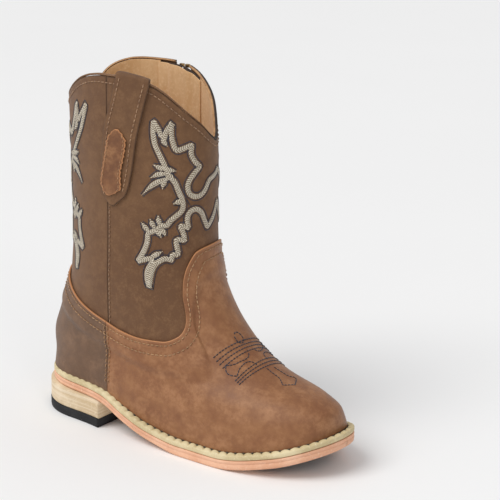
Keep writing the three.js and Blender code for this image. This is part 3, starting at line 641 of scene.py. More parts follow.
def dull(name, base, dark, grain=400, metallic=0.0, rough=0.7):
    """Board, cork, felt or steel hidden in the bottom."""
    f = Finish(name, Metallic=metallic)
    lot = f.noise(grain, 5, 0.65)
    return f.done(f.blend(f.step(lot, 0.38, 0.66), tint(dark), tint(base)),
                  lot * 0.25 + (rough - 0.12), lot * 0.2)


VAMP = distressed_leather("vamp_leather", "80502f", "986841", "b3815b")
COUNTER = distressed_leather("counter_leather", "604530", "74563f", "8a6a50", gloss=0.55)
PATCH = distressed_leather("patch_leather", "643c22", "855733", "a87c54", "edge", 0.6)
SHAFT = shaft_leather()
TAN = lining_leather()
INK_AND_SHADE = edge_ink_and_shade()
TAN_THREAD = thread("tan_thread", "bc9166", "d6b08a", "8d6845")
SEAM_THREAD = thread("seam_thread", "ab8563", "c8a480", "7b5a42")
NAVY = thread("navy_thread", "33323f", "4d4c60", "201f2a")
DARK_THREAD = thread("dark_thread", "4a3f2c", "6f6248", "2c251a")
SATIN = satin_thread()
CREAM = rubber("welt", "e0d0a8", "eee2c4", "c9b78c", 0.62)
SALMON = rubber("outsole", "f0bf9f", "f7d2b8", "e2aa88", 0.62)
PALE = rubber("heel", "e4cfb0", "efe0c8", "cdb48f", 0.6, layers=18.0)
BLACK = rubber("top_lift", "29292b", "3a3a3c", "1b1b1d", 0.75)
TAPE = woven_tape()
COIL = nylon()
METAL = bronze()
BOARD = dull("board", "b9a58a", "93805f")
STIFF = dull("stiffener", "c9bda4", "a2957a")
CORK = dull("cork", "b98f5f", "7d5a35", 260)
STEEL = dull("steel", "9a9a9a", "6f6f70", 300, 1.0, 0.45)


# Upper
seam_outer, shift_outer = keep_edge(SIDE_SEAM, False, 61)
seam_inner, shift_inner = keep_edge(SIDE_SEAM, True, 61)
shaft_seam, shift_seam = keep_edge(SIDE_SEAM + 0.8, False, 150)
zip_front, shift_front = keep_edge(ZIP_X + ZIP_GAP, True, 150)
zip_back, shift_back = keep_edge(ZIP_X - ZIP_GAP, True, 150)
tape_front, shift_tape_front = keep_edge(ZIP_X + TAPE_WIDTH + 0.5, True, 150)
tape_back, shift_tape_back = keep_edge(ZIP_X - TAPE_WIDTH - 0.5, True, 150)


def both(first, second, turn=0):
    """The shifts of two edges together, the second one taken a turn further round."""
    return lambda u, z: first(u, z) + second(u + turn, z)


both_seams = both(shift_outer, shift_inner)
both_seams_back = both(shift_outer, shift_inner, 1)


def upright(x, inner, z0, z1, count=200):
    """Line up the upper at a constant x."""
    z = np.linspace(z0, z1, count)
    return at_x(x, z, inner), z


def make_foot():
    """Vamp and counter with their stitch rows."""
    u = np.linspace(0, 1, 900)
    rows = [inset(u, vamp_edge(u), d) for d in (2.3, 7.4)]
    rows += [upright(SIDE_SEAM + d, inner, 27 if not inner else 28, 60.5)
             for d in (-1.2, 1.2) for inner in (False, True)]
    lines = [skin(a, b, over_step(a, b)) for a, b in rows]
    seams = [spots for spots, _ in lines]
    for node, cols, finish, shift, count in (
            ("vamp", (seam_outer + SEAM_GAP, seam_inner - SEAM_GAP, 230), VAMP, both_seams, 110),
            ("counter", (seam_inner + SEAM_GAP - 1, seam_outer - SEAM_GAP, 150), COUNTER, both_seams_back, 90)):
        panel(f"{node}_upper", columns(*cols), foot_edge, vamp_edge, lambda a, z: over_step(a, z) - LEATHER / 2,
              LEATHER / 2, finish, shift, count, seams, SEAM_BEVEL, node=node)
    sew("foot_stitching", lines, TAN_THREAD)


def make_shaft():
    """Front and back shaft panels with their stitch rows."""
    u = np.linspace(zip_back - 1 + 0.007, zip_front - 0.007, 900)
    rows = [inset(u, top_edge(u), 3.2)]
    rows += [upright(ZIP_X + side * (ZIP_GAP + d), True, 62.5, 193) for side in (-1, 1) for d in (1.7, 4.9)]
    rows += [upright(SIDE_SEAM + 0.8 + 1.3, False, 62, 134)]
    lines = [skin(a, b, 0.0) for a, b in rows]
    seams = [spots for spots, _ in lines]
    for node, cols, shift in (
            ("shaft_front", (shaft_seam + SEAM_GAP, zip_front), both(shift_seam, shift_front)),
            ("shaft_back", (zip_back - 1, shaft_seam - SEAM_GAP), both(shift_seam, shift_back, 1))):
        panel(f"{node}_upper", columns(*cols, 170), lambda a: vamp_edge(a) - 8.7, top_edge, -PANEL / 2, PANEL / 2,
              SHAFT, shift, 110, seams, SEAM_BEVEL, node=node)
    sew("shaft_stitching", lines, SEAM_THREAD)


def make_topline():
    """Inked top edge that turns over from the shaft to the lining, with painted shade darkening it on the zip side."""
    panel("topline_edge", columns(zip_back - 1, zip_front, 300), lambda a: top_edge(a) + 0.12,
          lambda a: top_edge(a) + 1.25, -1.17, 1.2, INK_AND_SHADE, both(shift_front, shift_back, 1), 8, bevel=0.65,
          node="topline_binding")


def make_linings():
    """Shaft and foot linings, seen from inside."""
    def foot_mid(a, z):
        return -1.5 - 1.2 * smooth(-z, -(lining_join(a) - 2), -(lining_join(a) - 12)) - LINING / 2
    shaft_part = (lambda a: lining_join(a) + 2.5, top_edge, -PANEL - 0.3 - LINING / 2)
    foot_part = (foot_edge, lining_join, foot_mid)
    front = columns(shaft_seam + SEAM_GAP, tape_front, 120)
    back = columns(tape_back - 1, shaft_seam - SEAM_GAP, 120)
    vamp = columns(seam_outer + LINING_GAP, seam_inner - LINING_GAP, 110)
    heel = columns(seam_inner + LINING_GAP - 1, seam_outer - LINING_GAP, 90)
    for name, cols, part, shift, rows, node in (
            ("front_lining", front, shaft_part, both(shift_seam, shift_tape_front), 70, "lining_front"),
            ("back_lining", back, shaft_part, both(shift_seam, shift_tape_back, 1), 70, "lining_back"),
            ("vamp_inside", vamp, foot_part, both_seams, 50, "vamp_lining"),
            ("heel_inside", heel, foot_part, both_seams_back, 40, "heel_lining")):
        panel(name, cols, *part, LINING / 2, TAN, shift, rows, bevel=0.4, node=node)


# Pull strap
strap_left = curve((-68.6, 62.6), (-66, 60), (-62, 56.8), (-50, 56.8), (-30, 58.5), (-12, 63.7), (0, 67))
strap_right = curve((-68.6, 65.2), (-66, 68), (-62, 72.4), (-50, 76), (-30, 79), (-12, 82.7), (0, 85.4))
STRAP_PATH = [(0.95, -68.6), (0.95, -66), (0.95, -62), (0.95, -50), (1, -40), (1.1, -30), (1.2, -20),
              (1.25, -10), (1.2, 0.2), (1.1, 1.6), (0.65, 2.5), (-0.25, 2.95), (-1.2, 3.1), (-2.15, 2.95),
              (-3.05, 2.5), (-3.5, 1.6), (-3.6, 0.2), (-3.5, -8), (-3.5, -18), (-3.5, -32)]
patch_left = curve((134.6, 61.4), (138, 58.4), (141, 57.4), (146, 58), (154, 59.8), (160, 60.9), (166, 62.4),
                   (169, 64.8), (171, 67.3))
patch_right = curve((134.6, 63.2), (137, 68), (139.5, 70.6), (147, 70.4), (154, 71.8), (160, 73), (165, 73.5),
                    (168, 71.9), (171, 69.3))


def strap_grid(across, along):
    """Middle points of the strap; along runs over the path's points, across from its heel edge."""
    steps = range(len(STRAP_PATH))
    off = curve(*zip(steps, [p[0] for p in STRAP_PATH]))(along)
    drop = curve(*zip(steps, [p[1] for p in STRAP_PATH]))(along)
    inside = smooth(along, 10, 16)
    left = strap_left(np.minimum(0, drop)) * (1 - inside) + 67.6 * inside
    right = strap_right(np.minimum(0, drop)) * (1 - inside) + 84.6 * inside
    x = left + (right - left) * across
    u = around(x, np.maximum(100, STRAP_TOP + drop))
    z = STRAP_TOP + drop + (top_edge(u) - STRAP_TOP) * smooth(drop, -40, -15)
    return skin(u, z, off)[0]


def grid_out(mid):
    return unit(np.cross(np.gradient(mid, axis=0), np.gradient(mid, axis=1)))


def make_strap():
    across = edged(18, 18)[:, None]
    along = np.concatenate([[0, 0.02, 0.06, 0.14, 0.3], np.linspace(0.5, 18.9, 120), [18.96, 19]])[None, :]
    mid = strap_grid(across, along)
    slab("strap", mid, grid_out(mid), 0.55, SHAFT, node="pull_strap")
    rows = []
    for share, start, end in ((0.14, 1.7, 8.4), (0.86, 2.2, 8.4)):
        line = np.linspace(start, end, 160)
        spots = strap_grid(np.full(160, share), line)
        beside = strap_grid(np.full(160, share + 0.02), line)
        out = unit(np.cross(beside - spots, np.gradient(spots, axis=0)))
        rows.append((spots + out * 0.55, out))
    sew("strap_stitching", rows, SEAM_THREAD)


def make_patch():
    height = 134.6 + (171 - 134.6) * edged(60, 36)
    across = edged(22, 13)[:, None]
    ragged = 0.25 * np.sin(height * 2.1) + 0.2 * np.sin(height * 3.7 + 1)
    left, right = patch_left(height) + ragged, patch_right(height) - ragged[::-1]
    z = np.broadcast_to(height, (len(across), len(height)))
    u = around(left + (right - left) * across, z)
    mid, out = skin(u, z, 2.35)
    slab("patch", mid, out, 0.35, PATCH, bevel=0.5, node="strap_patch")
    rows = []
    for share in (0.1, 0.9):
        a = around(patch_left(height) * (1 - share) + patch_right(height) * share, height)[8:-8]
        rows.append(skin(a, height[8:-8], 2.7))
    sew("patch_stitching", rows, TAN_THREAD, pitch=2.2, thread=0.2)


# Embroidery
class Cloth:
    """The shaft unrolled: distance from a centre line and height, against u."""
    levels = np.linspace(70, 205, 28)
    turns = np.linspace(-0.6, 1.6, 1541)
    run = run_of(face(turns[None, :], levels[:, None]), 1)

    @classmethod
    def u_at(cls, centre, away, z):
        """u at the distance away from the centre line, measured towards growing u."""
        found = np.array([np.interp(np.interp(centre, cls.turns, r) + away, r, cls.turns) for r in cls.run])
        return np.array([np.interp(h, cls.levels, found[:, k]) for k, h in enumerate(z)])


WING = [(0, 148.5), (0, 148.5), (3.5, 145.5), (9.6, 144.1), (11.6, 140), (14, 137), (18.1, 135.6),
        (21.9, 137.4), (23.2, 141.5), (22, 145.3), (19.3, 148.8), (16.1, 152.1), (16.1, 152.1), (19.3, 155.3),
        (21.1, 159.4), (20.2, 163.9), (20.2, 163.9), (24.9, 162.1), (29, 160.9), (30.4, 166.2), (30.9, 170.6),
        (30.3, 175.6), (30.3, 175.6), (33.2, 171.4), (35.5, 167.7), (37.3, 172), (39.9, 176.4), (39.9, 176.4),
        (40.4, 170.9), (40, 165), (38, 160), (36, 155.6), (34.1, 151.1), (32.8, 147.5), (29.6, 144.7),
        (28.1, 140.3), (25.6, 134.6), (25.2, 131), (26, 128.5), (29, 126), (32, 123.5), (34, 120.5),
        (36.5, 121), (38.5, 119), (41.5, 117.2), (44.4, 116.5), (44.6, 111.4), (47.4, 105.2), (51, 100.3),
        (51, 100.3), (45.5, 102.2), (42.1, 102.3), (43.8, 99), (46.6, 95.6), (48.4, 90.6), (48.6, 86.8),
        (48.6, 86.8), (45.6, 93), (42.6, 98.2), (39.7, 100.9), (35.6, 103.1), (32.4, 102), (32.4, 102),
        (31.6, 105.2), (28.3, 104.8), (28.9, 109.3), (29.5, 113.5), (24.7, 112.6), (24.7, 112.6), (25.2, 117),
        (27.3, 121.2), (22.4, 119.4), (22.4, 119.4), (23.2, 123.5), (22.2, 127.8), (18.4, 129.7),
        (14.7, 127.3), (12.8, 122.9), (10.7, 118.2), (10.7, 118.2), (6.2, 121.6), (2.8, 126), (0, 131),
        (0, 131)]
SPIKES = [[(34.5, 151.5), (38, 152), (41.2, 153.6)], [(34, 149), (38.5, 148.6), (43, 146.2)], [(33, 146.5),
          (38.5, 144.6), (43, 141.5), (47.5, 136.6)], [(35, 151), (32.6, 151), (29, 150.4)], [(34.5, 148),
          (32, 147.8), (29.8, 146)], [(34.5, 145.5), (36, 143.2), (36.2, 140.6)], [(37.5, 121), (38.4, 124),
          (38.4, 126.6)], [(40.5, 119.5), (42, 122), (43, 124.2)], [(43.8, 117.4), (46, 119.6), (47.8, 122)],
          [(40, 118.5), (38, 116.5), (37, 114)], [(37, 119), (35.4, 117), (34.8, 115)], [(43, 103.2),
          (40, 105), (36.6, 106.8)], [(25.4, 134), (28, 133.8), (30.6, 132.6)], [(35.5, 167.7), (34.6, 165.4),
          (33, 163.5)], [(33.4, 170.6), (34.4, 168), (35.2, 165)]]


def softened(points, passes=2):
    """Corner-cut line; a doubled point stays a sharp tip."""
    line = np.array(points, float)
    for _ in range(passes):
        a, b = line[:-1], line[1:]
        cut = np.stack([0.75 * a + 0.25 * b, 0.25 * a + 0.75 * b], 1).reshape(-1, 2)
        line = np.concatenate([line[:1], cut, line[-1:]])
    return line


def even(line, step):
    run = run_of(line, 0)
    keep = np.concatenate([[True], np.diff(run) > 1e-6])
    s = np.linspace(0, run[-1], max(3, int(run[-1] / step) + 1))
    return np.stack([np.interp(s, run[keep], line[keep, k]) for k in range(2)], -1), s


LAYER = 0.015           # how far each band lies over the one before


def sewn_design(side, centre, squeeze=1.0, lean=None):
    """Bands and their dark outline as grids over the shaft; side is +1 towards growing u."""
    bands, outlines = [], []
    strokes = [(WING, 2.8, False)] + [(spike, 2.8, True) for spike in SPIKES]
    for k, (stroke, width, pointed) in enumerate(strokes):
        line, run = even(softened(stroke), 0.55)
        ahead = unit(np.gradient(line, axis=0))
        across = np.stack([ahead[:, 1], -ahead[:, 0]], -1)
        share = run / run[-1]
        taper = 1 + 0 * run
        if pointed:
            taper = (0.72 + 0.28 * smooth(share, 0, 0.35)) * (1 - 0.88 * smooth(share, 0.45, 1))
        half = width / 2 * taper
        lanes = np.array([-1, -0.8, -0.4, 0, 0.4, 0.8, 1])
        flat = line[:, None] + across[:, None] * (half[:, None] * lanes)[..., None]
        lift = (0.12 + 0.5 * np.sqrt(np.maximum(0, 1 - lanes**2)))[None, :] * (0.6 + 0.4 * taper)[:, None]
        uv = np.stack(np.broadcast_arrays(run[:, None], half[:, None] * lanes), -1)
        bands.append((flat, lift + LAYER * k, uv))
        for edge in (-1, 1):
            outlines.append(line + across * ((half + 0.75) * edge)[:, None])
    outlines.append(np.array([(21.4, 131.4), (22.4, 133), (23.2, 134.8)]))
    def place(points):
        return place_on_shaft(*points.reshape(-1, 2).T, side, centre, squeeze, lean)
    placed = [(place(flat), lift.ravel(), uv.reshape(-1, 2), lift.shape) for flat, lift, uv in bands]
    return placed, [place(line) for line in outlines]


def place_on_shaft(d, z, side, centre, squeeze, lean):
    if lean:
        d, z = d + lean(z), z + 0.22 * np.maximum(0, z - 158)
    return Cloth.u_at(centre, side * d * squeeze, z), z


def make_embroidery():
    back_lean = curve((87, -10.7), (100, -7), (137, -3.6), (155, 0), (166, 4.5), (176, 9.5))
    for name, centre, sides in (("front", FRONT_CENTRE, ((-1, 1.0, None), (1, 0.8, None))),
                                ("back", BACK_CENTRE, ((1, 1.0, back_lean), (-1, 0.8, None)))):
        points, faces, uvs, lines = [], [], [], []
        for side, squeeze, lean in sides:
            placed, rows = sewn_design(side, centre, squeeze, lean)
            for (u, z), lift, uv, shape in placed:
                ids = sum(len(p) for p in points) + np.arange(len(u)).reshape(shape)
                faces += quads(ids if side < 0 else ids[:, ::-1])
                points.append(skin(u, z, lift)[0])
                uvs.append(uv)
            for u, z in rows:
                lines.append(tube(skin(u, z, 0.12)[0], 0.25, 6))
        piece(f"{name}_embroidery", np.concatenate(points), faces, SATIN, uv=np.concatenate(uvs))
        piece(f"{name}_outline", *join(lines), NAVY)


# Toe stitching
def from_above(x, y):
    """u and height parameter of the vamp's point under (x, y)."""
    us, hs = np.linspace(0.34, 0.66, 161), np.linspace(2, 74, 145)
    grid = face(us[:, None], hs[None, :])
    flat = grid.reshape(-1, 3)
    near = np.array([np.argmin((flat[:, 0] - a) ** 2 + (flat[:, 1] - b) ** 2) for a, b in zip(x, y)])
    u, h = us[near // len(hs)], hs[near % len(hs)]
    for _ in range(5):
        p = face(u, h)
        pu = (face(u + 1e-4, h) - p) / 1e-4
        ph = (face(u, h + 0.01) - p) / 0.01
        det = pu[:, 0] * ph[:, 1] - ph[:, 0] * pu[:, 1]
        dx, dy = x - p[:, 0], y - p[:, 1]
        u = u + (dx * ph[:, 1] - dy * ph[:, 0]) / det
        h = h + (dy * pu[:, 0] - dx * pu[:, 1]) / det
    return u, h


def toe_line(points, passes=2):
    line, _ = even(softened(points, passes), 0.4)
    u, h = from_above(line[:, 0], line[:, 1])
    n = outward(u, h)
    return face(u, h) + n * 0.02, n


def make_toe_stitching():
    """Bars, petals, loop and stem worked in dark thread over the toe."""
    def mirrored(points):
        return [(x, 2 * (-2.4 + 0.113 * (x - 129)) - y) for x, y in points]
    lines = []
    for apex, drop, mid, reach in ((131, 6.5, 2.5, 15.5), (132.7, 6, 2.6, 16), (134.3, 5.5, 2.8, 16.5),
                                   (136, 5, 3, 17), (142.6, 3.9, 1, 17.5), (144.5, 4.2, 2, 18), (146.5, 4.5, 3, 18)):
        y = np.linspace(-19.5, reach, 30)
        lines.append(toe_line(np.stack([apex - drop * ((y - mid) / 22) ** 2, y], -1), 0))
    turn = np.linspace(-0.6, 2 * np.pi - 0.9, 20)
    lines.append(toe_line(np.stack([129 - 2.5 * np.cos(turn), -2.9 + 2.5 * np.sin(turn)], -1), 0))
    petals = [[(131.6, -17.6), (132.6, -19), (134, -19.5), (136.6, -18.8), (139, -17.2)],
              [(131.6, -17.6), (134.8, -15), (136.6, -11.2), (137.9, -7.6), (137.6, -5.2), (136.4, -4.2)],
              [(139, -17.2), (138, -14.5), (138.6, -9.5), (140.2, -6.4), (143.3, -5.5)]]
    for petal in petals:
        lines += [toe_line(petal), toe_line(mirrored(petal))]
    lines.append(toe_line([(147.2, -2.6), (151.6, -2.2), (155.2, -1.8), (157.4, -3.1), (159.7, -4.9), (159.7, -4.9),
                           (163.4, 1), (163.4, 1), (160.1, 7), (158.1, 8.4), (158.1, 8.4), (156.8, 5), (153, 3.8),
                           (148.4, 2.5)]))
    sew("toe_stitching", lines, NAVY, pitch=1.9, thread=0.29, rise=0.2, length=0.92)


# Sole
def outline(x, draw_in):
    """Both sides of the sole at x, drawn in by a distance; the toe's inner corner is rounder."""
    tuck = HEEL_TUCK * (1 - smooth(x, 40, 85))
    q = np.clip((x - draw_in - HEEL_TUCK) / (SOLE_LENGTH - HEEL_TUCK - 2 * draw_in), 0, 1)
    outer = (sole_outer(x) - draw_in - tuck) * end_round(q, 0.16, 0.68, 2.3)
    inner = (sole_inner(x) - draw_in - tuck) * end_round(q, 0.16, 0.68, np.where(q > 0.5, 2.0, 2.3))
    return swing(x) - outer, swing(x) + inner


def rim(draw_in, count):
    """Even loop round the sole's outline, starting at the heel and running by the little-toe side."""
    span = SOLE_LENGTH - HEEL_TUCK - 2 * draw_in
    x = HEEL_TUCK + draw_in + span * (1 - np.cos(np.linspace(0, np.pi, 500))) / 2
    outer, inner = outline(x, draw_in)
    loop = np.concatenate([np.stack([x, outer], -1), np.stack([x, inner], -1)[-2:0:-1]])
    loop = np.concatenate([loop, loop[:1]])
    run = run_of(loop, 0)
    s = np.linspace(0, run[-1], count, endpoint=False)
    return np.stack([np.interp(s, run, loop[:, k]) for k in range(2)], -1), s


def make_welt():
    """Welt with a lobed top edge against the upper and a stitch between the lobes."""
    count = 1400
    lobes = 90
    rings = []
    for draw_in, rise, lobe in ((9, 0.3, 0), (0.5, 0.3, 0), (0.12, 0.55, 0), (0, 1, 0), (0, 2.2, 0.05),
                                (0.2, 2.75, 0.15), (0.7, 3.05, 0.35), (1.4, 3.2, 0.65), (2.1, 3.2, 0.9), (2.8, 3.2, 1),
                                (3.3, 3.0, 1), (3.6, 2.4, 0.6), (9, 2.3, 0)):
        spots, _ = rim(draw_in, count)
        wave = np.abs(np.sin(np.pi * lobes * np.arange(count) / count)) ** 0.55
        z = sole_top(spots[:, 0]) + rise + lobe * (1.35 * wave - 0.6)
        rings.append(np.column_stack([spots, z]))
    grid = np.stack(rings)
    ids = np.arange(grid.shape[0] * count).reshape(-1, count)
    ids = np.concatenate([ids, ids[:, :1]], 1)
    ids = np.concatenate([ids, ids[:1]])
    piece("welt_band", grid.reshape(-1, 3), quads(ids.T), CREAM, node="welt")
    rows = []
    spots, _ = rim(3.25, count)
    z = feather(spots[:, 0]) + 0.05
    for k in range(lobes):
        a = (k * count) // lobes
        pick = np.arange(a - 3, a + 4) % count
        line = np.column_stack([spots[pick], z[pick]])
        rows.append((line, np.tile([0.0, 0.0, 1.0], (7, 1))))
    sew("welt_stitching", rows, DARK_THREAD, pitch=2.2, thread=0.5, rise=0.3, length=0.95)


def sole_loft(name, finish, profile, x_end=None, rows=150, **facts):
    """Solid under the foot: profile lists (draw in, height) round the edge from top to underside."""
    share = np.linspace(0, 1, rows)
    rings = []
    for draw_in, height in profile:
        start = HEEL_TUCK + draw_in
        if x_end is None:
            x = start + (SOLE_LENGTH - draw_in - start) * (1 - np.cos(np.pi * share)) / 2
        else:
            x = start + (x_end - 0.4 * max(0, draw_in) - start) * (1 - np.cos(np.pi / 2 * share))
        outer, inner = outline(x, draw_in)
        z = height(x)
        rings.append((np.column_stack([x, outer, z]), np.column_stack([x, inner, z])))
    points = np.concatenate([np.concatenate([a, b[::-1]]) for a, b in rings])
    loop = 2 * rows
    ids = np.arange(len(rings) * loop).reshape(-1, loop)
    shut = np.concatenate([ids, ids[:, :1]], 1)
    faces = quads(shut)
    for ring, flip in ((ids[0], False), (ids[-1], True)):
        lid = np.stack([ring[:rows], ring[:rows - 1:-1]])
        faces += quads(lid if not flip else lid[::-1])
    return piece(name, points, faces, finish, **facts)


def make_sole():
    def at(rise, base=underside):
        return lambda x: base(x) + rise

    def level(height):
        return lambda x: 0 * x + height
    sole_loft("outsole_layer", SALMON,
              [(8, sole_top), (0.35, sole_top), (0.08, at(-0.15, sole_top)), (0, at(-0.5, sole_top)),
               (0, at(-1.7, sole_top)), (0.16, at(-1.85, sole_top)), (0.16, at(-2.05, sole_top)),
               (0, at(-2.2, sole_top)), (0, at(1.1)), (0.2, at(0.45)), (0.7, at(0.1)), (1.4, at(0)), (8, at(0))],
              node="outsole")
    sole_loft("heel_stack", PALE,
              [(6, at(-0.3)), (-1.4, at(-0.3)), (-1.58, at(-0.65)), (-1.62, at(-3)), (-1.7, level(9)),
               (-1.76, level(6.2)), (-1.6, level(5.6)), (6, level(5.6))], HEEL_FRONT, 70,
              node="heel_block")
    sole_loft("heel_lift", BLACK,
              [(6, level(TOP_LIFT)), (-1.7, level(TOP_LIFT)), (-1.9, level(TOP_LIFT - 0.3)), (-1.96, level(1)),
               (-1.85, level(0.25)), (-1.5, level(0)), (6, level(0))], HEEL_FRONT - 0.6, 70,
              node="heel_top_lift")
    sole_loft("footbed", TAN,
              [(14, at(5.0, feather)), (11.4, at(4.9, feather)), (10.5, at(4.4, feather)), (10.15, at(3.6, feather)),
               (10.15, at(2.7, feather)), (10.5, at(2.35, feather)), (14, at(2.3, feather))],
              node="sock_liner")


# Zip
def strip(name, d0, d1, z0, z1, middle, half, finish, count, rows, **facts):
    """Upright strip beside the zip, from d0 to d1 off its centre line."""
    d = (d0 + (d1 - d0) * edged(count, abs(d1 - d0), 0.25))[:, None]
    share = edged(rows, z1 - z0, 0.25)[None, :]
    cap = top_edge(at_x(ZIP_X + d, 190 + 0 * d, True)) - 0.6
    z = z0 + (np.minimum(z1, cap) - z0) * share
    depth = middle(d) + 0 * z if callable(middle) else middle
    mid, out = skin(at_x(ZIP_X + d, z, True), z, depth)
    return slab(name, mid, out, half, finish, 0.25, **facts)


def coil(side, z0, z1, pitch=1.85, per_turn=14):
    """Nylon coil of one tape; its loops reach to the middle of the zip."""
    turns = int((z1 - z0) / pitch)
    t = np.linspace(0, turns, turns * per_turn)
    angle = 2 * np.pi * t
    reach = np.sign(np.cos(angle)) * np.abs(np.cos(angle)) ** 0.7
    x = ZIP_X + side * (1.9 - 1.22 * reach)
    y = ZIP_WALL - 0.2 + 0.62 * np.sin(angle)
    z = z0 + pitch * (t + (0.5 if side > 0 else 0))
    return tube(np.column_stack([x, y, z]), 0.34, 7)


def block(x0, x1, z0, z1):
    """Oblong outline about the zip's centre line."""
    return [(ZIP_X + x0, z0), (ZIP_X + x1, z0), (ZIP_X + x1, z1), (ZIP_X + x0, z1)]


def cut_plate(name, shapes, y0, y1, bevel, body="boot", node=None):
    """Flat metal piece from (x, z) outlines, later ones being holes; y is from the wall, the edges eased."""
    data = bpy.data.curves.new(name, "CURVE")
    data.dimensions, data.fill_mode = "2D", "BOTH"
    data.extrude, data.bevel_depth, data.bevel_resolution = (y1 - y0) / 2 - bevel, bevel, 2
    data.offset = -bevel
    for shape in shapes:
        spline = data.splines.new("POLY")
        spline.points.add(len(shape) - 1)
        for point, (x, z) in zip(spline.points, shape):
            point.co = (x, z, 0, 1)
        spline.use_cyclic_u = True
    shell = bpy.data.objects.new(name, data)
    bpy.context.scene.collection.objects.link(shell)
    bpy.context.view_layer.update()
    mesh = bpy.data.meshes.new_from_object(shell.evaluated_get(bpy.context.evaluated_depsgraph_get()))
    flat = np.array([v.co for v in mesh.vertices])
    faces = [list(p.vertices) for p in mesh.polygons]
    bpy.data.objects.remove(shell)
    points = np.column_stack([flat[:, 0], ZIP_WALL + (y0 + y1) / 2 - flat[:, 2], flat[:, 1]])
    obj = piece(name, points, faces, METAL, body, node)
    obj.data.set_sharp_from_angle(angle=math.radians(38))


def make_zip():
    for label, d0, d1 in (("front", TAPE_WIDTH, 0.38), ("back", -0.38, -TAPE_WIDTH)):
        strip(f"{label}_tape", d0, d1, 57.5, 196.3, -1.82, 0.26, TAPE, 16, 60, node=f"zip_tape_{label}")
    bow = curve((-16.5, -2.75), (-14, -3.15), (-9.5, -3.7), (-6.4, -5.1), (6.4, -5.1), (9.5, -3.7), (14, -3.15),
                (16.5, -2.75))
    strip("guard", 16.5, -16.5, 64, 196.6, bow, 0.35, TAN, 30, 40, node="zip_guard")
    for side, label in ((1, "front"), (-1, "back")):
        points, faces = coil(side, ZIP_BOTTOM + 3.4, ZIP_TOP - 1.2)
        piece(f"{label}_coil", points, faces, COIL, node=f"zip_coil_{label}")
        stop = block(side * 2 - 1.25, side * 2 + 1.25, 194.8, 196.6)
        cut_plate(f"{label}_stop", [stop], -1.1, 0.9, 0.3, node=f"zip_stop_{label}")
    cut_plate("bottom_stop", [block(-3.2, 3.2, 61.1, 63.5)], -1.1, 1.1, 0.35, node="zip_stop_bottom")


def make_slider():
    """Slider plates with their flanges, web and bridge."""
    level = slider_low[2] + (slider_high[2] - slider_low[2]) / 2
    top, foot = slider_high[2], slider_low[2]

    edge = [(2.6, top), (4.1, top - 0.7), (4.7, top - 2.6), (4.2, level - 1), (3.3, foot + 0.9), (2.3, foot)]
    shield = [(ZIP_X + x, z) for x, z in edge] + [(ZIP_X - x, z) for x, z in reversed(edge)]
    cut_plate("slider", [shield], 1.1, 2.3, 0.3, "slider", node="zip_slider")
    cut_plate("slider_back", [shield], -4.2, -3, 0.25, "slider")
    for side in (-1, 1):
        flange = [(4.65, top - 2.4), (4.3, level - 1), (3.65, foot + 1.5), (3.6, level - 1), (3.62, top - 2.4)]
        shape = [(ZIP_X + side * x, z) for x, z in flange]
        cut_plate(f"slider_flange_{'front' if side > 0 else 'back'}", [shape], -0.9, 1.4, 0.1, "slider")
    cut_plate("slider_web", [block(-0.28, 0.28, foot + 6, top - 0.8)], -3.2, 1.3, 0.05, "slider")
    t = np.linspace(0, np.pi, 24)
    arch = np.column_stack([0 * t + ZIP_X, ZIP_WALL + 2.2 + 3.2 * np.sin(t) ** 0.6, level + 3.0 * np.cos(t)])
    parts = [tube(arch + [dx, 0, 0], 0.42, 10) for dx in (-0.62, -0.2, 0.2, 0.62)]
    piece("bridge", *join(parts), METAL, "slider", "zip_bridge")


def make_pull():
    """Pull and its loop, hanging from the bridge."""
    joint = next(j for j in frame["joints"] if j["name"] == "pull_swing")
    _, y, level = np.array(joint["pos_m"]) * 1000 - ORIGIN

    def plate(points):
        return [(ZIP_X + x, level + z) for x, z in points]
    body = plate([(-2.3, -3.9), (-2.9, -15.5), (-3.25, -18), (-2.6, -19.6), (-1.4, -20), (1.4, -20), (2.6, -19.6),
                  (3.25, -18), (2.9, -15.5), (2.3, -3.9), (1.3, -3.2), (-1.3, -3.2)])
    hole = plate([(-1.35, -13.4), (1.35, -13.4), (1.55, -17.4), (-1.55, -17.4)])
    cut_plate("pull_tab", [body, hole], y - ZIP_WALL - 0.6, y - ZIP_WALL + 0.6, 0.2, "pull", "zip_pull")
    loop = [(-1.9, -4.4), (-2.05, -1.2), (-2.0, 0), (-1.2, 0), (0, 0), (1.2, 0), (2.0, 0), (2.05, -1.2), (1.9, -4.4)]
    line = softened(loop, 2)
    spots = np.column_stack([ZIP_X + line[:, 0], 0 * line[:, 0] + y, level + line[:, 1]])
    piece("pull_loop", *tube(spots, 0.55, 10), METAL, "pull")


# Inside the bottom
def finish_hidden():
    """Carried-over pieces inside the boot get their own finishes."""
    kept = {"heel_stiffener": STIFF, "toe_puff": STIFF, "insole_board": BOARD, "shank": STEEL,
            "forepart_filler": CORK, **{f"heel_nail_{k}": STEEL for k in (1, 2, 3, 4)}}
    for name, finish in kept.items():
        for holder in frame["nodes"][name].material_slots:
            holder.material = finish


# Studio
def aimed(name, data, spot, aim):
    """Camera or lamp at a spot, turned to a point."""
    thing = bpy.data.objects.new(name, data)
    bpy.context.scene.collection.objects.link(thing)
    thing.location = spot
    thing.rotation_mode = "QUATERNION"
    thing.rotation_quaternion = (Vector(aim) - Vector(spot)).to_track_quat("-Z", "Y")
    return thing


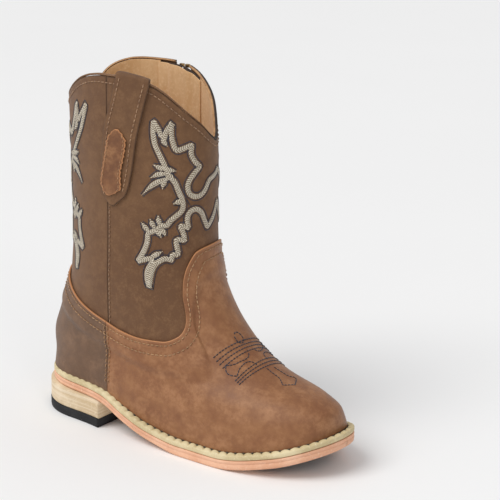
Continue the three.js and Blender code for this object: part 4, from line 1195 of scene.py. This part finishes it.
def make_camera():
    """Camera on the boot's front little-toe quarter."""
    azimuth, elevation, distance = math.radians(38.7), math.radians(17.8), 0.880
    back = Vector((math.sin(azimuth) * math.cos(elevation), -math.cos(azimuth) * math.cos(elevation),
                   math.sin(elevation)))
    data = bpy.data.cameras.new("camera")
    data.lens, data.shift_x, data.shift_y = 116.6, 0.106, 0.0836
    aim = Vector((0.00075, -0.0001, 0.080))
    bpy.context.scene.camera = aimed("camera", data, aim + back * distance, aim)


def make_studio():
    """Pale seamless floor and soft daylight."""
    f = Finish("floor", Roughness=0.9, Specular_IOR_Level=0.1)
    f.feed("Base Color", f.blend(f.noise(3, 2), tint("f3f3f3"), tint("f6f6f6")))
    mesh = bpy.data.meshes.new("floor")
    reach = 8.0
    mesh.from_pydata([(-reach, -reach, 0), (reach, -reach, 0), (reach, reach, 0), (-reach, reach, 0)], [],
                     [(0, 1, 2, 3)])
    mesh.materials.append(f.material)
    floor = bpy.data.objects.new("floor", mesh)
    bpy.context.scene.collection.objects.link(floor)
    world = bpy.data.worlds.new("studio")
    world.use_nodes = True
    world.node_tree.nodes["Background"].inputs[0].default_value = tint("f2f3f5")
    world.node_tree.nodes["Background"].inputs[1].default_value = 0.62
    bpy.context.scene.world = world
    sun = bpy.data.lights.new("daylight", "SUN")
    sun.energy, sun.angle, sun.color = 1.5, math.radians(38), (1, 0.985, 0.96)
    aimed("daylight", sun, (0, 0, 0), (0.35, 0.62, -1.0))
    for name, spot, aim, size, power in (("sheen", (-0.5, -1.0, 0.9), (0, 0, 0.08), 0.5, 1.2),
                                         ("toe_sheen", (0.9, -0.5, 0.8), (0.07, 0, 0.04), 0.3, 0.9)):
        lamp = bpy.data.lights.new(name, "AREA")
        lamp.shape, lamp.size, lamp.energy = "DISK", size, power
        aimed(name, lamp, spot, aim)
    bpy.context.scene.view_settings.view_transform = "Standard"


make_camera()
make_studio()
make_foot()
make_shaft()
make_topline()
make_linings()
make_strap()
make_patch()
make_embroidery()
make_toe_stitching()
make_welt()
make_sole()
make_zip()
make_slider()
make_pull()
finish_hidden()


def write_size():
    """Imports json and does nothing else."""
    import json


write_size()
